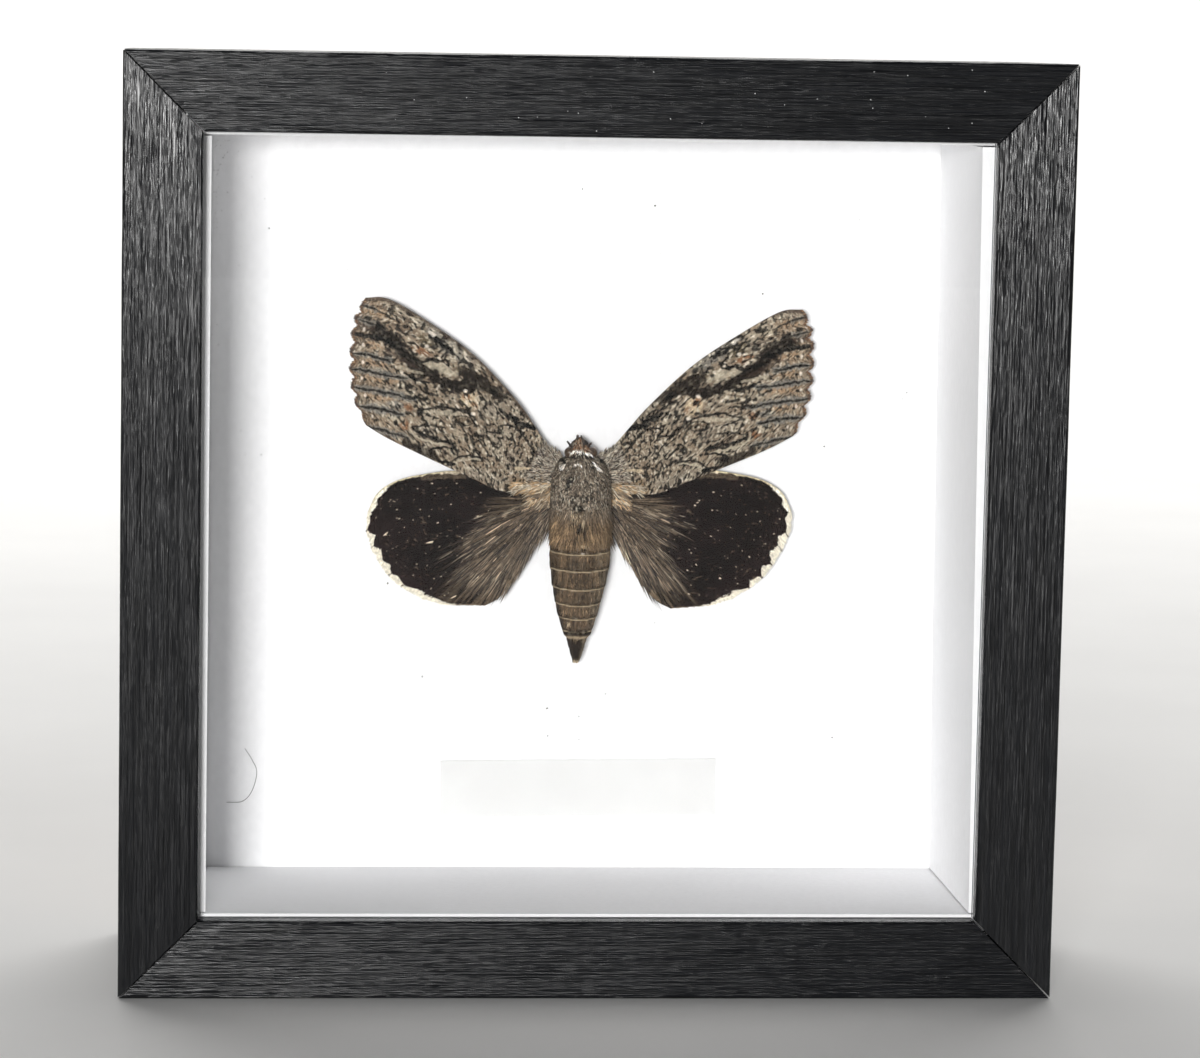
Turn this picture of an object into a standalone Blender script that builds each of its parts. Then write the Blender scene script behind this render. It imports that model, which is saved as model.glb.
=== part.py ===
"""Framed moth: a deep black box frame with a large moth fixed to its white board.

Metres, +Z up. The glass faces -Y and the origin is under the middle of the frame.
"""

import math

import bmesh
import bpy
from mathutils import Matrix, Vector

MM = 0.001

# Frame
SIDE = 170.0 * MM
DEPTH = 56.0 * MM
MOULDING = 14.3 * MM
LIP = 2.7 * MM
RAIL_WALL = 11.0 * MM
FRONT_ARRIS = 0.6 * MM
BACK_ARRIS = 0.3 * MM
ARC_STEPS = 3
GAP = 0.3 * MM

# What the rebate holds, from the front to the back
GLASS = 2.0 * MM
BOX_DEPTH = 41.7 * MM
MOUNT_BOARD = 2.0 * MM
BACK_PANEL = 3.0 * MM

# White strips that line the box, by the distance of each inner face from the middle
STRIP = 3.0 * MM
STRIP_REACH = {"left": 69.3 * MM, "right": 69.5 * MM, "top": 70.2 * MM, "bottom": 70.3 * MM}
STRIP_LEAN = {"left": 0.0, "right": 0.7, "top": 0.0, "bottom": 0.0}

# Label
LABEL_WIDTH = 53.0 * MM
LABEL_HEIGHT = 10.9 * MM
LABEL_THICKNESS = 0.25 * MM
LABEL_RIGHT = 1.9 * MM
LABEL_BELOW = 54.7 * MM
LABEL_TURN = 0.7

# Metal parts at the back
TAB_WIDTH = 6.0 * MM
TAB_LENGTH = 12.0 * MM
TAB_IN_RAIL = 3.0 * MM
TAB_THICKNESS = 0.5 * MM
TAB_SPREAD = 44.0 * MM
HANGER_LENGTH = 40.0 * MM
HANGER_HEIGHT = 9.0 * MM
HANGER_THICKNESS = 0.6 * MM
HANGER_BAR = 12.0 * MM
HANGER_SLOPE = 1.5 * MM
HANGER_RISE = 0.9 * MM
HANGER_TEETH = 9
HANGER_TEETH_REACH = 11.0 * MM
HANGER_TOOTH = 1.4 * MM
HANGER_ABOVE = 55.0 * MM
NAIL_SPREAD = 17.0 * MM
NAIL_HEAD = 1.5 * MM
NAIL_HEAD_THICKNESS = 0.5 * MM
NAIL_SHANK = 0.6 * MM
NAIL_LENGTH = 3.2 * MM
HOLE_STEPS = 16

# Planes behind the front face
GLASS_FRONT = LIP + GAP
STRIP_FRONT = GLASS_FRONT + GLASS + GAP
BOARD_FRONT = STRIP_FRONT + BOX_DEPTH + GAP
PANEL_FRONT = BOARD_FRONT + MOUNT_BOARD + GAP
PANEL_BACK = PANEL_FRONT + BACK_PANEL
PANE_HALF = SIDE / 2 - RAIL_WALL - GAP
MIDDLE = Vector((0.0, 0.0, SIDE / 2))

# Moth, in millimetres from the middle of the frame
MOTH_RIGHT = 0.5
WING_THICKNESS = 0.5
WING_PLEAT = 0.12
WING_CAMBER = 0.5
WING_STEPS_ALONG = 8
SHARE_STEP = 0.035

FOREWING = {
    "lift": 4.8,
    "lobe_tips": [0.067, 0.18, 0.31, 0.455, 0.587, 0.725, 0.86, 0.985],
    "lobe_depth": 0.9,
    "lead": [(4.9, 9.8), (8.4, 15.1), (12.2, 20.3), (20.0, 28.4), (28.0, 34.2), (36.2, 38.9), (40.8, 39.2)],
    "margin": [
        (40.8, 39.2), (42.6, 35.8), (43.3, 32.0), (43.5, 28.0), (43.4, 24.0), (42.6, 19.8), (40.4, 15.2)
    ],
    "trail": [(7.2, 3.6), (14.2, 2.9), (20.2, 5.3), (28.2, 8.9), (36.2, 12.7), (40.4, 15.2)],
}
HINDWING = {
    "lift": 3.7,
    "lobe_tips": [0.04, 0.20, 0.32, 0.43, 0.535, 0.63, 0.74, 0.84],
    "lobe_depth": 0.5,
    "lead": [(6.3, 3.4), (13.0, 5.9), (22.8, 6.6), (29.2, 5.9), (34.4, 4.6), (38.0, 2.2), (39.8, -1.4)],
    "margin": [(39.8, -1.4), (39.9, -5.4), (37.8, -10.6), (33.8, -15.2), (26.8, -18.6), (17.4, -19.1)],
    "trail": [(6.3, -4.0), (9.6, -10.4), (12.0, -14.2), (14.6, -17.5), (17.4, -19.1)],
}
# How each wing is set: turned about its hinge, stretched, its leading edge made flatter and
# its outer margin drawn in
WING_SET = {
    "forewing_left": {"turn": 0.0, "stretch": 1.0, "flatten": 0.0, "draw_in": 0.0},
    "forewing_right": {"turn": -2.0, "stretch": 1.0, "flatten": 0.9, "draw_in": 0.1},
    "hindwing_left": {"turn": 0.0, "stretch": 1.0, "flatten": 0.0, "draw_in": 0.0},
    "hindwing_right": {"turn": 1.2, "stretch": 1.03, "flatten": 0.0, "draw_in": 0.9},
}
WING_HINGE = {"forewing": (5.0, 8.0), "hindwing": (6.0, 0.0)}

# Body rings from the tail to the front of the head:
# height, centre to the right, half width, half thickness, centre above the board
BODY_RINGS = [
    (-29.8, 0.1, 0.35, 0.35, 4.4),
    (-29.2, 0.1, 0.65, 0.60, 4.4),
    (-24.9, 0.2, 1.95, 1.75, 4.6),
    (-24.3, 0.2, 2.55, 2.35, 4.7),
    (-21.0, 0.2, 3.50, 3.10, 4.9),
    (-20.7, 0.2, 3.70, 3.25, 4.9),
    (-18.3, 0.2, 4.15, 3.70, 5.0),
    (-18.0, 0.2, 4.35, 3.85, 5.0),
    (-15.1, 0.3, 4.90, 4.25, 5.1),
    (-14.8, 0.3, 5.10, 4.40, 5.1),
    (-11.9, 0.4, 5.40, 4.60, 5.2),
    (-11.6, 0.4, 5.60, 4.75, 5.2),
    (-8.8, 0.4, 5.75, 4.80, 5.3),
    (-6.0, 0.4, 5.70, 4.90, 5.4),
    (-3.0, 0.4, 5.65, 5.10, 5.6),
    (0.0, 0.3, 5.75, 5.25, 5.7),
    (3.0, 0.3, 5.75, 5.30, 5.7),
    (6.0, 0.3, 5.45, 5.20, 5.7),
    (8.0, 0.3, 4.80, 4.70, 5.6),
    (9.2, 0.3, 4.00, 4.00, 5.5),
    (9.7, 0.2, 2.90, 3.30, 5.4),
    (10.7, 0.1, 2.60, 3.10, 5.3),
    (11.7, 0.0, 1.90, 2.60, 5.2),
    (12.6, 0.0, 1.20, 1.80, 5.1),
    (13.3, 0.0, 0.50, 0.90, 5.0),
]
RING_STEPS = 20
EYE_RADIUS = 1.05
EYES = [(-1.95, 10.6, 6.5), (2.15, 10.6, 6.5)]
# Broken feelers and palps: base and tip, each as right, up and above the board, with radii
STUBS = [
    ((-1.3, 11.2, 6.9), (-2.6, 12.8, 7.8), 0.30, 0.16),
    ((0.8, 11.8, 6.8), (0.0, 13.9, 7.6), 0.34, 0.12),
    ((1.1, 11.5, 6.6), (2.0, 12.5, 7.4), 0.30, 0.16),
    ((-0.4, 12.3, 5.2), (-0.5, 13.8, 5.8), 0.45, 0.20),
]
PIT = {"place": (-0.5, 0.4, 11.1), "half": (1.2, 1.3, 0.75)}


def clear_scene():
    """Remove the objects of the default scene."""
    for old in list(bpy.data.objects):
        bpy.data.objects.remove(old, do_unlink=True)


def make_collection(name):
    """A new collection in the scene."""
    group = bpy.data.collections.new(name)
    bpy.context.scene.collection.children.link(group)
    return group


def make_material(name, colour, roughness, metallic=0.0, transmission=0.0):
    """A Principled material."""
    material = bpy.data.materials.new(name)
    material.use_nodes = True
    shader = material.node_tree.nodes["Principled BSDF"]
    shader.inputs["Base Color"].default_value = (*colour, 1.0)
    shader.inputs["Roughness"].default_value = roughness
    shader.inputs["Metallic"].default_value = metallic
    shader.inputs["Transmission Weight"].default_value = transmission
    return material


def add_object(name, mesh, group, material=None):
    """Link a mesh as a named object."""
    item = bpy.data.objects.new(name, mesh)
    group.objects.link(item)
    if material is not None and not mesh.materials:
        mesh.materials.append(material)
    return item


def mesh_from(builder, name):
    """Turn a bmesh into a mesh."""
    mesh = bpy.data.meshes.new(name)
    bmesh.ops.recalc_face_normals(builder, faces=builder.faces)
    builder.to_mesh(mesh)
    builder.free()
    return mesh


def box(name, low, high, group, material):
    """A box between two corners, its object standing at the box's middle."""
    low = Vector(low)
    high = Vector(high)
    builder = bmesh.new()
    bmesh.ops.create_cube(builder, size=1.0, matrix=Matrix.Diagonal((*(high - low), 1.0)))
    item = add_object(name, mesh_from(builder, name), group, material)
    item.location = (low + high) / 2
    return item


def extruded_outline(name, outline, length, holes=()):
    """The mesh of a closed flat outline and its holes, extruded by the length about its plane."""
    curve = bpy.data.curves.new(name, "CURVE")
    curve.dimensions = "2D"
    curve.fill_mode = "BOTH"
    curve.extrude = length / 2
    for loop in (outline, *holes):
        spline = curve.splines.new("POLY")
        spline.points.add(len(loop) - 1)
        for point, (across, up) in zip(spline.points, loop):
            point.co = (across, up, 0.0, 1.0)
        spline.use_cyclic_u = True
    holder = bpy.data.objects.new(name, curve)
    bpy.context.scene.collection.objects.link(holder)
    bpy.context.view_layer.update()
    evaluated = holder.evaluated_get(bpy.context.evaluated_depsgraph_get())
    mesh = bpy.data.meshes.new_from_object(evaluated)
    bpy.data.objects.remove(holder, do_unlink=True)
    builder = bmesh.new()
    builder.from_mesh(mesh)
    bmesh.ops.remove_doubles(builder, verts=builder.verts, dist=0.01 * MM)
    bpy.data.meshes.remove(mesh)
    return builder


def round_corner(corner, towards_start, towards_end, radius):
    """Points of a quarter arc that rounds a square corner."""
    centre = Vector(corner) + (Vector(towards_start) + Vector(towards_end)) * radius
    points = []
    for step in range(ARC_STEPS + 1):
        angle = math.pi / 2 * step / ARC_STEPS
        offset = Vector(towards_end) * math.cos(angle) + Vector(towards_start) * math.sin(angle)
        points.append(tuple(centre - offset * radius))
    return points


def rail_outline():
    """Section of a rail: distance behind the front face, distance in from the outer face."""
    outline = []
    outline += round_corner((0.0, 0.0), (0.0, 1.0), (1.0, 0.0), FRONT_ARRIS)
    outline += round_corner((DEPTH, 0.0), (-1.0, 0.0), (0.0, 1.0), BACK_ARRIS)
    outline += [(DEPTH, RAIL_WALL), (LIP, RAIL_WALL), (LIP, MOULDING)]
    outline += round_corner((0.0, MOULDING), (1.0, 0.0), (0.0, -1.0), FRONT_ARRIS)
    return outline


def rail_mesh():
    """The bottom rail about the middle of the frame: an extruded section with mitred ends."""
    builder = extruded_outline("rail", rail_outline(), SIDE * 1.1)
    lay_down = Matrix(((0, 0, 1, 0), (1, 0, 0, -DEPTH / 2), (0, 1, 0, -SIDE / 2), (0, 0, 0, 1)))
    bmesh.ops.transform(builder, matrix=lay_down, verts=builder.verts)
    for side in (-1, 1):
        geometry = builder.verts[:] + builder.edges[:] + builder.faces[:]
        normal = Vector((side, 0.0, 1.0)).normalized()
        point = -normal * GAP / 2
        cut = bmesh.ops.bisect_plane(
            builder, geom=geometry, plane_co=point, plane_no=normal, clear_outer=True
        )
        rim = [item for item in cut["geom_cut"] if isinstance(item, bmesh.types.BMEdge)]
        bmesh.ops.edgeloop_fill(builder, edges=rim)
    return mesh_from(builder, "rail")


def tab_slots():
    """Two pockets in the bottom rail's rebate wall, for its tabs."""
    builder = bmesh.new()
    tab_middle = PANEL_BACK + GAP + TAB_THICKNESS / 2 - DEPTH / 2
    size = (TAB_WIDTH + 2 * GAP, TAB_THICKNESS + 2 * GAP, 2 * (TAB_IN_RAIL + GAP))
    for side in (-1, 1):
        place = Matrix.Translation((side * TAB_SPREAD, tab_middle, RAIL_WALL - SIDE / 2))
        bmesh.ops.create_cube(builder, size=1.0, matrix=place @ Matrix.Diagonal((*size, 1.0)))
    return mesh_from(builder, "tab_slots")


def build_rails(group, cutters, materials):
    """Four rails, one shape turned about the middle of the frame."""
    mesh = rail_mesh()
    slots = tab_slots()
    for turn, side in enumerate(("bottom", "left", "top", "right")):
        rail = add_object("rail_" + side, mesh, group, materials["frame"])
        cutter = add_object("slots_" + side, slots, cutters)
        cutter.hide_render = True
        cutter.display_type = "WIRE"
        for item in (rail, cutter):
            item.location = MIDDLE
            item.rotation_euler.y = turn * math.pi / 2
        cut = rail.modifiers.new("tab slots", "BOOLEAN")
        cut.operation = "DIFFERENCE"
        cut.solver = "EXACT"
        cut.object = cutter


def build_panes(group, materials):
    """Glass, white board and back panel: square sheets in the rebate."""
    sheets = (
        ("glass_pane", GLASS_FRONT, GLASS, "glass"),
        ("mount_board", BOARD_FRONT, MOUNT_BOARD, "card"),
    )
    for name, front, thickness, material in sheets:
        low = (-PANE_HALF, front - DEPTH / 2, SIDE / 2 - PANE_HALF)
        high = (PANE_HALF, front + thickness - DEPTH / 2, SIDE / 2 + PANE_HALF)
        box(name, low, high, group, materials[material])


def build_back_panel(group, cutters, materials):
    """The back panel with its two nail holes."""
    low = (-PANE_HALF, PANEL_FRONT - DEPTH / 2, SIDE / 2 - PANE_HALF)
    high = (PANE_HALF, PANEL_BACK - DEPTH / 2, SIDE / 2 + PANE_HALF)
    panel = box("back_panel", low, high, group, materials["hardboard"])
    drill_nail_holes(panel, cutters)


def drill_nail_holes(panel, cutters):
    """Cut the two nail holes of the hanger through the panel."""
    for side in (-1, 1):
        builder = bmesh.new()
        bmesh.ops.create_cone(
            builder, cap_ends=True, segments=HOLE_STEPS, radius1=NAIL_SHANK + GAP, radius2=NAIL_SHANK + GAP,
            depth=20 * MM, matrix=Matrix.Rotation(math.pi / 2, 4, "X"),
        )
        hole = add_object("nail_hole", mesh_from(builder, "nail_hole"), cutters)
        hole.location = (side * NAIL_SPREAD, PANEL_BACK - DEPTH / 2, SIDE / 2 + HANGER_ABOVE)
        hole.hide_render = True
        hole.display_type = "WIRE"
        cut = panel.modifiers.new("nail hole", "BOOLEAN")
        cut.operation = "DIFFERENCE"
        cut.solver = "EXACT"
        cut.object = hole


def build_strips(group, materials):
    """White strips between the glass and the board; the side ones stand between the others."""
    front = STRIP_FRONT - DEPTH / 2
    back = front + BOX_DEPTH
    for side, sign in (("bottom", -1), ("top", 1)):
        near = sign * STRIP_REACH[side]
        far = sign * (STRIP_REACH[side] + STRIP)
        low = (-PANE_HALF, front, SIDE / 2 + min(near, far))
        high = (PANE_HALF, back, SIDE / 2 + max(near, far))
        box("spacer_" + side, low, high, group, materials["card"])
    for side, sign in (("left", -1), ("right", 1)):
        near = sign * STRIP_REACH[side]
        far = sign * (STRIP_REACH[side] + STRIP)
        low = (min(near, far), front, SIDE / 2 - STRIP_REACH["bottom"] + GAP)
        high = (max(near, far), back, SIDE / 2 + STRIP_REACH["top"] - GAP)
        strip = box("spacer_" + side, low, high, group, materials["card"])
        strip.rotation_euler.y = -math.radians(STRIP_LEAN[side])


def build_label(group, materials):
    """The small sticker, slightly out of true."""
    builder = bmesh.new()
    size = (LABEL_WIDTH, LABEL_THICKNESS, LABEL_HEIGHT, 1.0)
    bmesh.ops.create_cube(builder, size=1.0, matrix=Matrix.Diagonal(size))
    label = add_object("label", mesh_from(builder, "label"), group, materials["paper"])
    depth = BOARD_FRONT - GAP - LABEL_THICKNESS / 2
    label.location = (LABEL_RIGHT, depth - DEPTH / 2, SIDE / 2 - LABEL_BELOW)
    label.rotation_euler.y = -math.radians(LABEL_TURN)


def build_tabs(group, materials):
    """Two bendable points in each rail, lying on the back panel."""
    width = TAB_WIDTH / 2
    outline = [(-width, 0.0), (width, 0.0)]
    round_start = TAB_LENGTH - width
    for step in range(9):
        angle = math.pi * step / 8
        outline.append((width * math.cos(angle), round_start + width * math.sin(angle)))
    builder = extruded_outline("tab", outline, TAB_THICKNESS)
    foot = RAIL_WALL - TAB_IN_RAIL - SIDE / 2
    middle = PANEL_BACK + GAP + TAB_THICKNESS / 2 - DEPTH / 2
    upright = Matrix(((1, 0, 0, 0), (0, 0, 1, middle), (0, 1, 0, foot), (0, 0, 0, 1)))
    bmesh.ops.transform(builder, matrix=upright, verts=builder.verts)
    mesh = mesh_from(builder, "tab")
    number = 0
    for turn in range(4):
        for side in (-1, 1):
            number += 1
            tab = add_object("tab_" + str(number), mesh, group, materials["steel"])
            spin = Matrix.Rotation(turn * math.pi / 2, 4, "Y")
            shift = Matrix.Translation((side * TAB_SPREAD, 0.0, 0.0))
            tab.matrix_world = Matrix.Translation(MIDDLE) @ spin @ shift


def hanger_outline():
    """Strip with teeth along the lower edge of its raised bar."""
    half = HANGER_LENGTH / 2
    top = HANGER_HEIGHT / 2
    outline = [(half, -top + HANGER_TOOTH), (half, top), (-half, top), (-half, -top + HANGER_TOOTH)]
    pitch = 2 * HANGER_TEETH_REACH / HANGER_TEETH
    for tooth in range(HANGER_TEETH):
        start = -HANGER_TEETH_REACH + pitch * tooth
        outline.append((start, -top + HANGER_TOOTH))
        outline.append((start + pitch / 2, -top))
    outline.append((HANGER_TEETH_REACH, -top + HANGER_TOOTH))
    return outline


def nail_hole_outline(side):
    """A round hole near one end of the hanger."""
    angles = [2 * math.pi * step / HOLE_STEPS for step in range(HOLE_STEPS)]
    radius = NAIL_SHANK + GAP
    return [(side * NAIL_SPREAD + radius * math.cos(a), radius * math.sin(a)) for a in angles]


def build_hanger(group, materials):
    """The toothed hanger: flat ends on the panel, a bar that stands off it."""
    holes = [nail_hole_outline(-1), nail_hole_outline(1)]
    builder = extruded_outline("hanger", hanger_outline(), HANGER_THICKNESS, holes)
    for place in (HANGER_BAR, HANGER_BAR + HANGER_SLOPE):
        for side in (-1, 1):
            geometry = builder.verts[:] + builder.edges[:] + builder.faces[:]
            bmesh.ops.bisect_plane(
                builder, geom=geometry, plane_co=(side * place, 0.0, 0.0), plane_no=(1.0, 0.0, 0.0)
            )
    seat = PANEL_BACK + GAP + HANGER_THICKNESS / 2 - DEPTH / 2
    for vert in builder.verts:
        across, up, through = vert.co
        slope = (HANGER_BAR + HANGER_SLOPE - abs(across)) / HANGER_SLOPE
        rise = HANGER_RISE * min(1.0, max(0.0, slope))
        vert.co = (across, seat + through + rise, up)
    hanger = add_object("hanger", mesh_from(builder, "hanger"), group, materials["steel"])
    hanger.location = (0.0, 0.0, SIDE / 2 + HANGER_ABOVE)


def build_nails(group, materials):
    """Two nails with flat heads, turned shapes through the hanger and the panel."""
    head_under = HANGER_THICKNESS + 2 * GAP
    profile = [
        (0.0, head_under + NAIL_HEAD_THICKNESS),
        (NAIL_HEAD, head_under + NAIL_HEAD_THICKNESS),
        (NAIL_HEAD, head_under),
        (NAIL_SHANK, head_under),
        (NAIL_SHANK, NAIL_HEAD_THICKNESS - NAIL_LENGTH),
        (0.0, -NAIL_LENGTH),
    ]
    for name, side in (("hanger_nail_left", -1), ("hanger_nail_right", 1)):
        mesh = bpy.data.meshes.new(name)
        points = [(radius, 0.0, height) for radius, height in profile]
        mesh.from_pydata(points, [(i, i + 1) for i in range(len(points) - 1)], [])
        nail = add_object(name, mesh, group, materials["steel"])
        nail.location = (side * NAIL_SPREAD, PANEL_BACK - DEPTH / 2, SIDE / 2 + HANGER_ABOVE)
        nail.rotation_euler.x = -math.pi / 2
        turned = nail.modifiers.new("turned", "SCREW")
        turned.steps = 12
        turned.render_steps = 12
        turned.use_merge_vertices = True
        turned.merge_threshold = 0.01 * MM


def moth_place(right, up, lift):
    """World place of a point of the moth given in millimetres, lift being above the board."""
    x = (MOTH_RIGHT + right) * MM
    y = BOARD_FRONT - lift * MM - DEPTH / 2
    return Vector((x, y, SIDE / 2 + up * MM))


def along(points, share):
    """A point on the smooth curve through the points, share running from 0 to 1."""
    spans = len(points) - 1
    place = min(max(share, 0.0), 1.0) * spans
    span = min(int(place), spans - 1)
    t = place - span
    near = Vector(points[span])
    far = Vector(points[span + 1])
    before = Vector(points[span - 1]) if span > 0 else near * 2 - far
    after = Vector(points[span + 2]) if span + 2 <= spans else far * 2 - near
    square = before * 2 - near * 5 + far * 4 - after
    cube = near * 3 - before - far * 3 + after
    return (near * 2 + (far - before) * t + square * t * t + cube * t * t * t) / 2


def beside(points, share, inward):
    """A point on the smooth curve, moved to its right-hand side by a distance."""
    step = 0.001
    tangent = (along(points, share + step) - along(points, share - step)).normalized()
    return along(points, share) + Vector((tangent.y, -tangent.x)) * inward


def lobe_count(wing, share):
    """How many lobes lie before a place on the margin, each lobe's tip being half-way through it."""
    tips = [-wing["lobe_tips"][0], *wing["lobe_tips"], 2.0 - wing["lobe_tips"][-1]]
    lobe = max(number for number in range(len(tips) - 1) if tips[number] <= share)
    return lobe - 0.5 + (share - tips[lobe]) / (tips[lobe + 1] - tips[lobe])


def margin_point(wing, draw_in, share):
    """A point on the outer margin, notched between its lobes."""
    notch = 1.0 - abs(math.sin(math.pi * lobe_count(wing, share)))
    ends = min(1.0, 8.0 * share, 8.0 * (1.0 - share))
    inward = draw_in * math.sin(math.pi * share) + wing["lobe_depth"] * notch * ends
    return beside(wing["margin"], share, inward)


def wing_point(wing, values, outward, across):
    """A point of a wing's outline patch: outward from the root, across from the leading edge."""
    lead = beside(wing["lead"], outward, values["flatten"] * math.sin(math.pi * outward))
    trail = along(wing["trail"], outward)
    root = Vector(wing["lead"][0]).lerp(Vector(wing["trail"][0]), across)
    tip = Vector(wing["lead"][-1]).lerp(Vector(wing["trail"][-1]), across)
    margin = margin_point(wing, values["draw_in"], across)
    return lead.lerp(trail, across) + root.lerp(margin, outward) - root.lerp(tip, outward)


def wing_lift(wing, outward, across):
    """Height above the board: a slight camber, and a pleat along each vein."""
    camber = WING_CAMBER * math.sin(math.pi * across) * math.sin(math.pi * outward)
    pleat = WING_PLEAT * math.cos(2 * math.pi * lobe_count(wing, across)) * outward
    return wing["lift"] + camber - pleat


def across_shares(wing):
    """Places across a wing: the tip of each lobe, each notch, and two between them."""
    tips = wing["lobe_tips"]
    notches = [(near + far) / 2 for near, far in zip(tips, tips[1:])]
    main = sorted({0.0, *tips, *notches, 1.0})
    shares = [0.0]
    for near, far in zip(main, main[1:]):
        steps = max(1, round((far - near) / SHARE_STEP))
        shares += [near + (far - near) * step / steps for step in range(1, steps + 1)]
    return shares


def build_wing(name, wing, hinge, group, material):
    """A wing as a thin pleated sheet with a lobed margin, given thickness afterwards."""
    values = WING_SET[name]
    mirror = -1 if name.endswith("left") else 1
    shares = across_shares(wing)
    spin = Matrix.Rotation(math.radians(values["turn"]), 2) * values["stretch"]
    pivot = Vector(hinge)
    builder = bmesh.new()
    rows = []
    for i in range(WING_STEPS_ALONG + 1):
        row = []
        outward = i / WING_STEPS_ALONG
        for across in shares:
            flat = spin @ (wing_point(wing, values, outward, across) - pivot) + pivot
            place = moth_place(mirror * flat.x, flat.y, wing_lift(wing, outward, across))
            row.append(builder.verts.new(place))
        rows.append(row)
    for i in range(WING_STEPS_ALONG):
        for j in range(len(shares) - 1):
            corners = (rows[i][j], rows[i + 1][j], rows[i + 1][j + 1], rows[i][j + 1])
            builder.faces.new(corners)
    sheet = add_object(name, mesh_from(builder, name), group, material)
    skin = sheet.modifiers.new("wing thickness", "SOLIDIFY")
    skin.thickness = WING_THICKNESS * MM
    skin.offset = 0.0


def build_wings(group, materials):
    """Two pairs of wings; the right ones mirror the left, each set a little differently."""
    for kind, wing in (("forewing", FOREWING), ("hindwing", HINDWING)):
        for side in ("left", "right"):
            build_wing(kind + "_" + side, wing, WING_HINGE[kind], group, materials[kind])


def build_body(group, cutters, materials):
    """Abdomen, thorax and head lofted in rings, with eyes, stubs and the pit in the back."""
    builder = bmesh.new()
    rings = []
    for up, centre, half_width, half_depth, lift in BODY_RINGS:
        ring = []
        for step in range(RING_STEPS):
            angle = 2 * math.pi * step / RING_STEPS
            right = centre + half_width * math.cos(angle)
            ring.append(builder.verts.new(moth_place(right, up, lift + half_depth * math.sin(angle))))
        rings.append(ring)
    for low, high in zip(rings, rings[1:]):
        for step in range(RING_STEPS):
            after = (step + 1) % RING_STEPS
            builder.faces.new((low[step], low[after], high[after], high[step]))
    builder.faces.new(rings[0])
    builder.faces.new(rings[-1])
    body = add_object("body", mesh_from(builder, "body"), group, materials["body"])
    for number, (right, up, lift) in enumerate(EYES):
        eye = bmesh.new()
        bmesh.ops.create_uvsphere(eye, u_segments=12, v_segments=8, radius=EYE_RADIUS * MM)
        mesh = mesh_from(eye, "eye")
        join_to(body, mesh, moth_place(right, up, lift), (0.0, 0.0, 1.0), "UNION", cutters)
    for base, tip, base_radius, tip_radius in STUBS:
        start = moth_place(*base)
        end = moth_place(*tip)
        stub = bmesh.new()
        bmesh.ops.create_cone(
            stub, cap_ends=True, segments=8, radius1=base_radius * MM, radius2=tip_radius * MM,
            depth=(end - start).length,
        )
        join_to(body, mesh_from(stub, "stub"), (start + end) / 2, end - start, "UNION", cutters)
    hollow = bmesh.new()
    bmesh.ops.create_uvsphere(hollow, u_segments=12, v_segments=8, radius=1.0)
    half_right, half_up, half_deep = PIT["half"]
    shape = Matrix.Diagonal((half_right * MM, half_deep * MM, half_up * MM, 1.0))
    bmesh.ops.transform(hollow, matrix=shape, verts=hollow.verts)
    place = moth_place(*PIT["place"])
    join_to(body, mesh_from(hollow, "pit"), place, (0.0, 0.0, 1.0), "DIFFERENCE", cutters)


def join_to(body, mesh, place, direction, operation, cutters):
    """Add a shape to the body or take it away, its own Z axis along the direction."""
    shape = add_object(mesh.name, mesh, cutters)
    shape.location = place
    shape.rotation_euler = Vector(direction).to_track_quat("Z", "Y").to_euler()
    shape.hide_render = True
    shape.display_type = "WIRE"
    change = body.modifiers.new(mesh.name, "BOOLEAN")
    change.operation = operation
    change.solver = "EXACT"
    change.object = shape


def make_materials():
    """Every material, by what it is used for."""
    return {
        "frame": make_material("black_frame", (0.018, 0.019, 0.022), 0.38),
        "glass": make_material("clear_glass", (0.97, 0.98, 0.98), 0.02, transmission=1.0),
        "card": make_material("white_card", (0.92, 0.92, 0.92), 0.75),
        "paper": make_material("label_paper", (0.86, 0.85, 0.83), 0.55),
        "hardboard": make_material("brown_hardboard", (0.28, 0.17, 0.09), 0.7),
        "steel": make_material("zinc_steel", (0.62, 0.62, 0.60), 0.35, metallic=1.0),
        "forewing": make_material("forewing_scales", (0.20, 0.17, 0.14), 0.85),
        "hindwing": make_material("hindwing_scales", (0.02, 0.013, 0.012), 0.8),
        "body": make_material("body_hair", (0.15, 0.12, 0.08), 0.9),
    }


def main():
    """Build the framed moth."""
    clear_scene()
    group = make_collection("framed_moth")
    cutters = make_collection("cutters")
    materials = make_materials()
    build_rails(group, cutters, materials)
    build_panes(group, materials)
    build_strips(group, materials)
    build_label(group, materials)
    build_back_panel(group, cutters, materials)
    build_tabs(group, materials)
    build_hanger(group, materials)
    build_nails(group, materials)
    build_body(group, cutters, materials)
    build_wings(group, materials)


main()
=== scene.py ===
"""Framed moth: dresses a deep box frame and the large moth set inside it.

Lengths are in millimetres where a name doesn't say otherwise. Places are given to the right of and
above the middle of the frame, and behind its front face; the moth's are above its backing board.
"""

import math

import bmesh
import bpy
import numpy as np
from bpy.props import FloatProperty, FloatVectorProperty, IntProperty, PointerProperty
from mathutils import Matrix, Vector


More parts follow.
